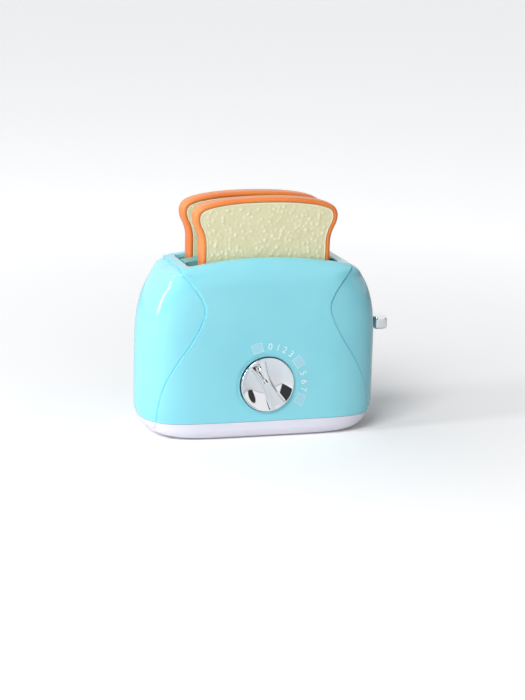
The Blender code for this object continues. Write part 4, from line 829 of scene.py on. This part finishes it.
def crust_mesh(y, shift):
    """The crust as one profile swept round the slice's outline."""
    half = SLICE_HALF_THICK
    arc = [math.pi / 2 * k / 6 for k in range(7)]
    flat = half - CRUST_ROUNDING
    side = [(CRUST_ROUNDING * (1 - math.cos(t)), flat + CRUST_ROUNDING * math.sin(t)) for t in arc]
    fall = 0.35
    side += [(CRUST_RIM - fall + fall * math.sin(t), half - fall + fall * math.cos(t)) for t in arc[::2]]
    side += [(CRUST_RIM, half - POCKET), (CRUST_RIM + CRUST_LEDGE, half - POCKET)]
    profile = [(inset, -out) for inset, out in side] + [(inset, out) for inset, out in reversed(side)]
    rings = []
    for inset, out in profile:
        edge = slice_edge(inset)
        rings.append(np.stack([edge[:, 0] + shift, np.full(len(edge), y + out), edge[:, 1] + SLICE_FOOT], 1))
    count = len(rings[0])
    faces = []
    for r in range(len(rings)):
        s = (r + 1) % len(rings)
        for i in range(count):
            j = (i + 1) % count
            faces.append((r * count + i, r * count + j, s * count + j, s * count + i))
    return solid_mesh("crust", np.concatenate(rings), faces)


def solid_mesh(name, points, faces, degrees=40):
    """A smooth mesh in metres from points in millimetres, with its faces turned outward."""
    mesh = bpy.data.meshes.new(name)
    mesh.from_pydata((points * MM).tolist(), [], faces)
    shape = bmesh.new()
    shape.from_mesh(mesh)
    bmesh.ops.recalc_face_normals(shape, faces=shape.faces)
    shape.to_mesh(mesh)
    shape.free()
    mesh.shade_smooth()
    mesh.set_sharp_from_angle(angle=math.radians(degrees))
    return mesh


def half_width_at(edge, levels):
    """Half the width of an outline at each of these heights."""
    right = edge[: len(edge) // 2 + 1]
    order = np.argsort(right[:, 1])
    return np.interp(levels, right[order, 1], right[order, 0])


def pimple_field(x, z, seed):
    """Soft round pimples, strewn at an even distance, as a share of their full height."""
    dice = np.random.default_rng(seed)
    placed = []
    for _ in range(5200):
        spot = dice.uniform((-56, 3), (56, 94))
        if all((spot[0] - p[0]) ** 2 + (spot[1] - p[1]) ** 2 > PIMPLE_SPACING**2 for p in placed):
            placed.append(spot)
    rise = np.zeros_like(x)
    for px, pz in placed:
        wide, tall = dice.uniform(0.75, 1.35, 2)
        high = dice.uniform(0.25, 1.0) ** 1.5
        lean = dice.uniform(0, math.pi)
        near = (np.abs(x - px) < 4) & (np.abs(z - pz) < 4)
        u = (x[near] - px) * math.cos(lean) + (z[near] - pz) * math.sin(lean)
        v = (z[near] - pz) * math.cos(lean) - (x[near] - px) * math.sin(lean)
        rise[near] = np.maximum(rise[near], high * np.exp(-((u / wide) ** 2) - (v / tall) ** 2))
    return rise


def crumb_mesh(y, way, shift, seed):
    """A crumb panel: a rounded border, then a field of pimples in real relief."""
    outer = slice_edge(CRUST_RIM + SEAM_GAP)
    low, high = outer[:, 1].min(), outer[:, 1].max()
    columns, rows = CRUMB_COLUMNS, CRUMB_ROWS
    across = np.linspace(-1, 1, 2 * columns + 1)
    across = across * (1.25 - 0.25 * across**2)
    share = np.linspace(-1, 1, rows + 1)
    share = share * (1.3 - 0.3 * share**2)
    levels = (low + high) / 2 + share * (high - low) / 2
    half = half_width_at(outer, levels)
    x = (half[:, None] * across[None, :]).ravel()
    z = np.repeat(levels, len(across))
    border = np.full(len(x), 1e9)
    start, end = outer, np.roll(outer, -1, axis=0)
    for a, b in zip(start, end):
        step = b - a
        t = np.clip(((x - a[0]) * step[0] + (z - a[1]) * step[1]) / (step @ step), 0, 1)
        border = np.minimum(border, np.hypot(x - a[0] - t * step[0], z - a[1] - t * step[1]))
    pimples = pimple_field(x, z, seed) * smooth_share((border - 1.2) / 1.5)
    ridge = np.exp(-(((border - 0.85) / 0.45) ** 2))
    edge_fall = BORDER_FALL * (1 - smooth_share(border / 0.6))
    out = SLICE_HALF_THICK - PANEL_SINK + PIMPLE_RISE * pimples + BORDER_RISE * ridge - edge_fall
    front = np.stack([x + shift, y + way * out, z + SLICE_FOOT], 1)
    wide = len(across)
    faces = []
    for r in range(rows):
        for c in range(wide - 1):
            k = r * wide + c
            faces.append((k, k + 1, k + 1 + wide, k + wide))
    rim = [c for c in range(wide)] + [r * wide + wide - 1 for r in range(1, rows + 1)]
    rim += [rows * wide + c for c in range(wide - 2, -1, -1)] + [r * wide for r in range(rows - 1, 0, -1)]
    back = front[rim].copy()
    back[:, 1] = y + way * (SLICE_HALF_THICK - POCKET)
    base = len(front)
    for i in range(len(rim)):
        j = (i + 1) % len(rim)
        faces.append((rim[i], rim[j], base + j, base + i))
    faces.append(tuple(range(base, base + len(rim))))
    mesh = solid_mesh("crumb", np.concatenate([front, back]), faces, 50)
    # Painted highlight: the colour turns paler where the pimples stand proud, and paler along the border
    # ridge
    painted_highlight_tint = mesh.attributes.new("rise", "FLOAT", "POINT")
    values = np.concatenate([0.85 * pimples + 0.75 * ridge, np.zeros(len(rim))])
    painted_highlight_tint.data.foreach_set("value", values.astype(np.float32))
    return mesh


def make_bread():
    for name, y, shift, seed in BREAD:
        crust = crust_mesh(y, shift)
        show(name + "_crust_fine", crust, CRUST, name, (name + "_crust",))
        for side, way in (("front", -1), ("rear", 1)):
            mesh = crumb_mesh(y, way, shift, seed + (way > 0))
            piece_name = f"{name}_{side}_crumb"
            show(piece_name + "_fine", mesh, CRUMB, name, (piece_name,))


make_bread()

# Dial knob: a chromed disc with a scoop each side of a waisted rib
KNOB_RADIUS = 21.5
KNOB_FACE_Y = -40.0
KNOB_BACK_Y = -32.5
KNOB_RIM = 0.9
KNOB_ROUND = 0.6
BACK_BEVEL = 0.4
SCOOP = 4.8
SCOOP_RIGHT = (9.5, 5.5)
SCOOP_LEFT = (-10.0, -1.0)
RIB_LEAN = math.radians(27.0)
RIB_WAIST = 2.9
RIB_END = 6.9
RIB_WALL = 1.7
RIB_PROUD = 0.15
CHANNEL_MARGIN = 1.0
UPPER_CHANNEL = 1.5
LOWER_CHANNEL = 0.5
DOT_PLACE = 15.6
DOT_RADIUS = 1.9
DOT_WIRE = 0.55
DOT_PIT = 0.95
DOT_PIT_DEPTH = 1.0
MOST_PROUD = 0.18


def rib_half(along):
    """Half the rib's width at this distance along it, from the foot to the dotted end."""
    share = along / KNOB_RADIUS
    return RIB_WAIST + (RIB_END - RIB_WAIST) * np.abs(share) ** 1.7


def knob_depth(u, v):
    """How far the knob's face lies behind its rim, in the disc's plane turned with the rib."""
    along = v * math.cos(RIB_LEAN) - u * math.sin(RIB_LEAN)
    aside = u * math.cos(RIB_LEAN) + v * math.sin(RIB_LEAN)
    radius = np.hypot(u, v)
    inner = KNOB_RADIUS - KNOB_RIM
    centre_u = np.where(aside > 0, SCOOP_RIGHT[0], SCOOP_LEFT[0])
    centre_v = np.where(aside > 0, SCOOP_RIGHT[1], SCOOP_LEFT[1])
    off_u, off_v = u - centre_u, v - centre_v
    off = np.maximum(np.hypot(off_u, off_v), 1e-6)
    lead = (centre_u * off_u + centre_v * off_v) / off
    to_rim = np.sqrt(np.clip(lead**2 + inner**2 - centre_u**2 - centre_v**2, 0, None)) - lead
    bowl = SCOOP * np.clip(1 - (off / to_rim) ** 2, 0, 1)
    edge = np.abs(aside) - rib_half(along)
    wall = smooth_share((edge + 0.25) / RIB_WALL)
    channel_half = np.clip(rib_half(along) - CHANNEL_MARGIN, 0.1, None)
    channel = np.clip(1 - (aside / channel_half) ** 2, 0, None)
    upper = smooth_share((along - 0.5) / 6.0)
    lower = smooth_share((-along - 2.0) / 8.0)
    fade = smooth_share((inner - radius) / 2.0)
    top = (UPPER_CHANNEL * upper + LOWER_CHANNEL * lower) * channel * fade - RIB_PROUD * fade
    depth = top + (bowl - top) * wall
    centre_u, centre_v = -DOT_PLACE * math.sin(RIB_LEAN), DOT_PLACE * math.cos(RIB_LEAN)
    dot = np.hypot(u - centre_u, v - centre_v)
    ring = np.exp(-(((dot - DOT_RADIUS) / DOT_WIRE) ** 2))
    pit = np.exp(-((dot / DOT_PIT) ** 2))
    depth = depth - DOT_WIRE * ring * fade + DOT_PIT_DEPTH * pit * fade
    return np.maximum(depth, -MOST_PROUD)


def make_knob():
    turns = np.linspace(0, 2 * math.pi, 220, endpoint=False)
    inner = KNOB_RADIUS - KNOB_RIM
    radii = [inner - r for r in np.linspace(0, inner, 76)[:-1]]
    flat = KNOB_RADIUS - KNOB_ROUND
    thick = KNOB_BACK_Y - KNOB_FACE_Y
    arc = np.linspace(math.pi / 2, 0, 6)
    rings = [(1.2, thick), (KNOB_RADIUS - BACK_BEVEL, thick), (KNOB_RADIUS, thick - BACK_BEVEL)]
    rings += [(flat + KNOB_ROUND * math.sin(t), KNOB_ROUND - KNOB_ROUND * math.cos(t)) for t in arc]
    points = []
    for radius, deep in rings:
        u, v = radius * np.cos(turns), radius * np.sin(turns)
        points.append(np.stack([u, np.full(len(u), KNOB_FACE_Y + deep), v + DIAL_Z], 1))
    for radius in radii:
        u, v = radius * np.cos(turns), radius * np.sin(turns)
        points.append(np.stack([u, KNOB_FACE_Y + knob_depth(u, v), v + DIAL_Z], 1))
    count = len(turns)
    faces = []
    for r in range(len(points) - 1):
        for i in range(count):
            j = (i + 1) % count
            faces.append((r * count + i, r * count + j, (r + 1) * count + j, (r + 1) * count + i))
    faces.append(tuple(range(count)))
    last = (len(points) - 1) * count
    faces.append(tuple(range(last, last + count)))
    mesh = solid_mesh("dial_knob_fine", np.concatenate(points), faces, 60)
    show("dial_knob_fine", mesh, CHROME, "dial", ("dial_knob",))


make_knob()

# Printed marks round the dial, as thin films of ink on the front
MARK_RADIUS = 30.3
ICON_RADIUS = 32.0
DIGIT_HEIGHT = 5.2
INK = 0.03
CAPITAL_SHARE = 0.7
THINNER = 0.06
ICON_WIDTH = 9.6
ICON_INSIDE = 0.84
ICON_FILL = 0.985
DIGITS = (("0", 3.3), ("1", 15.7), ("2", 26.7), ("3", 38.6), ("5", 75.0), ("6", 88.5), ("7", 99.9))
ICONS = (-16.5, 56.0, 116.0)


def on_front(radius, angle):
    """Turns a flat drawing in X and Y into a mark on the front, its top pointing away from the dial."""
    turn = math.radians(angle)
    place = Vector((radius * math.sin(turn), -HALF_DEPTH - INK, DIAL_Z + radius * math.cos(turn))) * MM
    return Matrix.Translation(place) @ Matrix.Rotation(turn, 4, "Y") @ Matrix.Rotation(math.pi / 2, 4, "X")


def make_marks():
    for text, angle in DIGITS:
        data = bpy.data.curves.new("digit", "FONT")
        data.body = text
        data.align_x = "CENTER"
        data.align_y = "CENTER"
        data.size = DIGIT_HEIGHT / CAPITAL_SHARE * MM
        data.offset = -THINNER * MM
        data.extrude = INK * MM
        drawn = bpy.data.objects.new("drawn", data)
        bpy.context.scene.collection.objects.link(drawn)
        bpy.context.view_layer.update()
        mesh = bpy.data.meshes.new_from_object(drawn.evaluated_get(bpy.context.evaluated_depsgraph_get()))
        bpy.data.objects.remove(drawn)
        low = min(v.co.y for v in mesh.vertices)
        high = max(v.co.y for v in mesh.vertices)
        mesh.transform(Matrix.Translation((0, -(low + high) / 2, 0)))
        mesh.transform(on_front(MARK_RADIUS, angle))
        show("mark_" + text, mesh, PRINT, "housing")
    for number, angle in enumerate(ICONS):
        outline = slice_edge(0.0) * (ICON_WIDTH / (2 * SLICE_HALF_WIDTH))
        outline[:, 1] -= outline[:, 1].mean()
        inner = outline * ICON_INSIDE
        films = (("edge", (outline, inner), PRINT_SOFT), ("fill", (inner * ICON_FILL,), PALE_PRINT))
        for part, loops, material in films:
            shape = bmesh.new()
            rings = [[shape.verts.new((x * MM, z * MM, 0)) for x, z in loop] for loop in loops]
            if len(rings) == 1:
                shape.faces.new(rings[0])
            else:
                for i in range(len(rings[0])):
                    shape.faces.new((rings[0][i - 1], rings[0][i], rings[1][i], rings[1][i - 1]))
            made = bmesh.ops.extrude_face_region(shape, geom=list(shape.faces))
            lifted = [v for v in made["geom"] if isinstance(v, bmesh.types.BMVert)]
            bmesh.ops.translate(shape, vec=(0, 0, INK * MM), verts=lifted)
            bmesh.ops.recalc_face_normals(shape, faces=shape.faces)
            mesh = bpy.data.meshes.new("bread_mark")
            shape.to_mesh(mesh)
            shape.free()
            mesh.transform(on_front(ICON_RADIUS, angle))
            show(f"bread_mark_{number}_{part}", mesh, material, "housing")


make_marks()


LEVER_KNOB = ((97.7, -7.8, 76.1), (109.2, 7.8, 87.3))
LEVER_ROUND = 3.0


def make_lever():
    """The lever's chromed knob, a block with well rounded edges."""
    shape = box(*LEVER_KNOB)
    edges = list(shape.edges)
    bmesh.ops.bevel(shape, geom=edges, offset=LEVER_ROUND, segments=7, profile=0.5, affect="EDGES")
    mesh = to_mesh(shape, "lever_knob_fine")
    mesh.shade_smooth()
    show("lever_knob_fine", mesh, CHROME, "carriage", ("lever_knob",))


make_lever()


# The return spring, one fixed coil of steel wire; on the toy it closes up as the lever goes down
COIL_RADIUS = 3
COIL_WIRE = 0.45
COIL_TURNS = 9


def make_spring():
    low, high = (corner[2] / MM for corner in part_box("return_spring"))
    low, high = low + COIL_WIRE, high - COIL_WIRE
    steps, sides = COIL_TURNS * 28, 8
    turn = np.linspace(0, 2 * math.pi * COIL_TURNS, steps + 1)
    rise = np.linspace(low, high, steps + 1)
    round_wire = np.linspace(0, 2 * math.pi, sides, endpoint=False)
    reach = COIL_RADIUS + COIL_WIRE * np.cos(round_wire)[None, :]
    x = ROD_X + reach * np.cos(turn)[:, None]
    y = reach * np.sin(turn)[:, None]
    z = rise[:, None] + COIL_WIRE * np.sin(round_wire)[None, :]
    points = np.stack([x.ravel(), y.ravel(), z.ravel()], 1)
    faces = []
    for i in range(steps):
        for k in range(sides):
            m = (k + 1) % sides
            here, there = i * sides, (i + 1) * sides
            faces.append((here + k, here + m, there + m, there + k))
    faces.append(tuple(range(sides)))
    faces.append(tuple(range(steps * sides, (steps + 1) * sides)))
    mesh = solid_mesh("return_spring_fine", points, faces)
    spring = show("return_spring_fine", mesh, STEEL, "housing", ("return_spring",))
    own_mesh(spring)


make_spring()


# Floor, light and camera
def lamp(name, place, aim, size, power, colour="FFFFFF"):
    data = bpy.data.lights.new(name, "AREA")
    data.shape = "RECTANGLE"
    data.size, data.size_y = size
    data.energy = power
    data.color = linear(colour)
    thing = bpy.data.objects.new(name, data)
    bpy.context.scene.collection.objects.link(thing)
    thing.location = place
    thing.rotation_euler = (Vector(aim) - Vector(place)).to_track_quat("-Z", "Y").to_euler()
    return thing


# The room is brighter on the left, and has two dark corners that only the chrome and the gloss show:
# degrees round from the front, degrees up, degrees from middle to edge
ROOM_LEFT = 0.84
ROOM_RIGHT = 0.02
DARK_CORNERS = ((-40.0, 22.0, 38.0), (48.0, 8.0, 16.0))
CORNER_SOFTNESS = 3.0
CORNER_LEVEL = 0.05


def facing(turn_deg, rise_deg):
    """The direction that lies this far round from the front and this far up."""
    turn, rise = math.radians(turn_deg), math.radians(rise_deg)
    return Vector((math.cos(rise) * math.sin(turn), -math.cos(rise) * math.cos(turn), math.sin(rise)))


def make_stage():
    world = bpy.data.worlds.new("soft_room")
    bpy.context.scene.world = world
    world.use_nodes = True
    tree = world.node_tree
    tree.nodes.clear()
    path = tree.nodes.new("ShaderNodeLightPath")
    way = tree.nodes.new("ShaderNodeTexCoord").outputs["Generated"]
    camera_ray, glossy_ray, glass_ray = (
        path.outputs[f"Is {kind} Ray"] for kind in ("Camera", "Glossy", "Transmission")
    )
    higher = {"operation": "MAXIMUM"}
    seen = node(tree, "ShaderNodeMath", higher, n0=camera_ray, n1=glossy_ray)
    seen = node(tree, "ShaderNodeMath", higher, n0=seen.outputs[0], n1=glass_ray)
    parts = node(tree, "ShaderNodeSeparateXYZ", None, Vector=way)
    level = node(
        tree,
        "ShaderNodeMapRange",
        {"From Min": -0.5, "From Max": 0.35, "To Min": ROOM_LEFT, "To Max": ROOM_RIGHT},
        Value=parts.outputs["X"],
    )
    room = node(tree, "ShaderNodeBackground", {"Color": (*linear("F2F4F8"), 1)}, Strength=level.outputs[0])
    bright = None
    for turn, rise, reach in DARK_CORNERS:
        settings = {"operation": "DOT_PRODUCT", "1": facing(turn, rise)}
        toward = node(tree, "ShaderNodeVectorMath", settings, n0=way)
        settings = {
            "From Min": math.cos(math.radians(reach + CORNER_SOFTNESS)),
            "From Max": math.cos(math.radians(reach)),
            "To Min": 1.0,
            "To Max": CORNER_LEVEL,
            "interpolation_type": "SMOOTHSTEP",
        }
        spot = node(tree, "ShaderNodeMapRange", settings, Value=toward.outputs["Value"]).outputs[0]
        if bright is None:
            bright = spot
        else:
            bright = node(tree, "ShaderNodeMath", {"operation": "MINIMUM"}, n0=bright, n1=spot).outputs[0]
    flat = node(tree, "ShaderNodeMath", higher, n0=camera_ray, n1=bright)
    white = node(tree, "ShaderNodeBackground", {"Color": (1, 1, 1, 1)}, Strength=flat.outputs[0])
    mix = node(tree, "ShaderNodeMixShader", None, n0=seen.outputs[0], n1=room.outputs[0], n2=white.outputs[0])
    node(tree, "ShaderNodeOutputWorld", None, Surface=mix.outputs[0])

    matt = {"Roughness": 0.9, "Specular IOR Level": 0.1}
    floor_material, tree, shader = new_material("pale_paper_floor", matt)
    shader.inputs["Base Color"].default_value = (*linear("F6F6F6"), 1)
    shader.inputs["Emission Color"].default_value = (1, 1, 1, 1)
    path = tree.nodes.new("ShaderNodeLightPath")
    away = node(tree, "ShaderNodeVectorMath", {"operation": "LENGTH"}, n0=coordinates(tree))
    lift = node(
        tree,
        "ShaderNodeMapRange",
        {"From Min": 0.12, "From Max": 0.9, "To Min": 0.12, "To Max": 0.5},
        Value=away.outputs["Value"],
    )
    times = {"operation": "MULTIPLY"}
    glow = node(tree, "ShaderNodeMath", times, n0=lift.outputs[0], n1=path.outputs["Is Camera Ray"])
    tree.links.new(shader.inputs["Emission Strength"], glow.outputs[0])
    mesh = bpy.data.meshes.new("floor")
    mesh.from_pydata([(-6, -6, 0), (6, -6, 0), (6, 6, 0), (-6, 6, 0)], [], [(0, 1, 2, 3)])
    floor = bpy.data.objects.new("floor", mesh)
    mesh.materials.append(floor_material)
    floor.location.z = -0.0002
    bpy.context.scene.collection.objects.link(floor)
    lamp("soft_key", (-0.9, -1.1, 1.5), (0, 0, 0.06), (0.9, 0.9), 23)
    lamp("left_strip", (-1.35, -0.25, 0.55), (0, 0, 0.08), (0.22, 0.9), 8)


TARGET = Vector((0, 0, 0.080))
CAMERA_AWAY = 1.7
CAMERA_TURN_DEG = -16.69
CAMERA_RISE_DEG = 12.9
CAMERA_ROLL_DEG = 1.58
FOCAL_PIXELS = 2146.6
AIM_PIXELS = (7.7, 22.4)


def make_camera():
    data = bpy.data.cameras.new("camera")
    data.sensor_fit = "VERTICAL"
    data.sensor_height = 36
    data.lens = FOCAL_PIXELS * 36 / 700
    out = facing(CAMERA_TURN_DEG, CAMERA_RISE_DEG)
    roll = math.radians(CAMERA_ROLL_DEG)
    right = (-out).cross(Vector((0, 0, 1))).normalized()
    up = right.cross(-out)
    across = right * math.cos(roll) + up * math.sin(roll)
    upward = up * math.cos(roll) - right * math.sin(roll)
    aside, above = (pixels / FOCAL_PIXELS for pixels in AIM_PIXELS)
    ahead = (-out + across * aside - upward * above).normalized()
    across = ahead.cross(upward).normalized()
    upward = across.cross(ahead)
    thing = bpy.data.objects.new("camera", data)
    bpy.context.scene.collection.objects.link(thing)
    axes = Matrix((across, upward, -ahead)).transposed().to_4x4()
    thing.matrix_world = Matrix.Translation(TARGET + out * CAMERA_AWAY) @ axes
    bpy.context.scene.camera = thing


make_stage()
make_camera()
bpy.context.scene.view_settings.view_transform = "Standard"
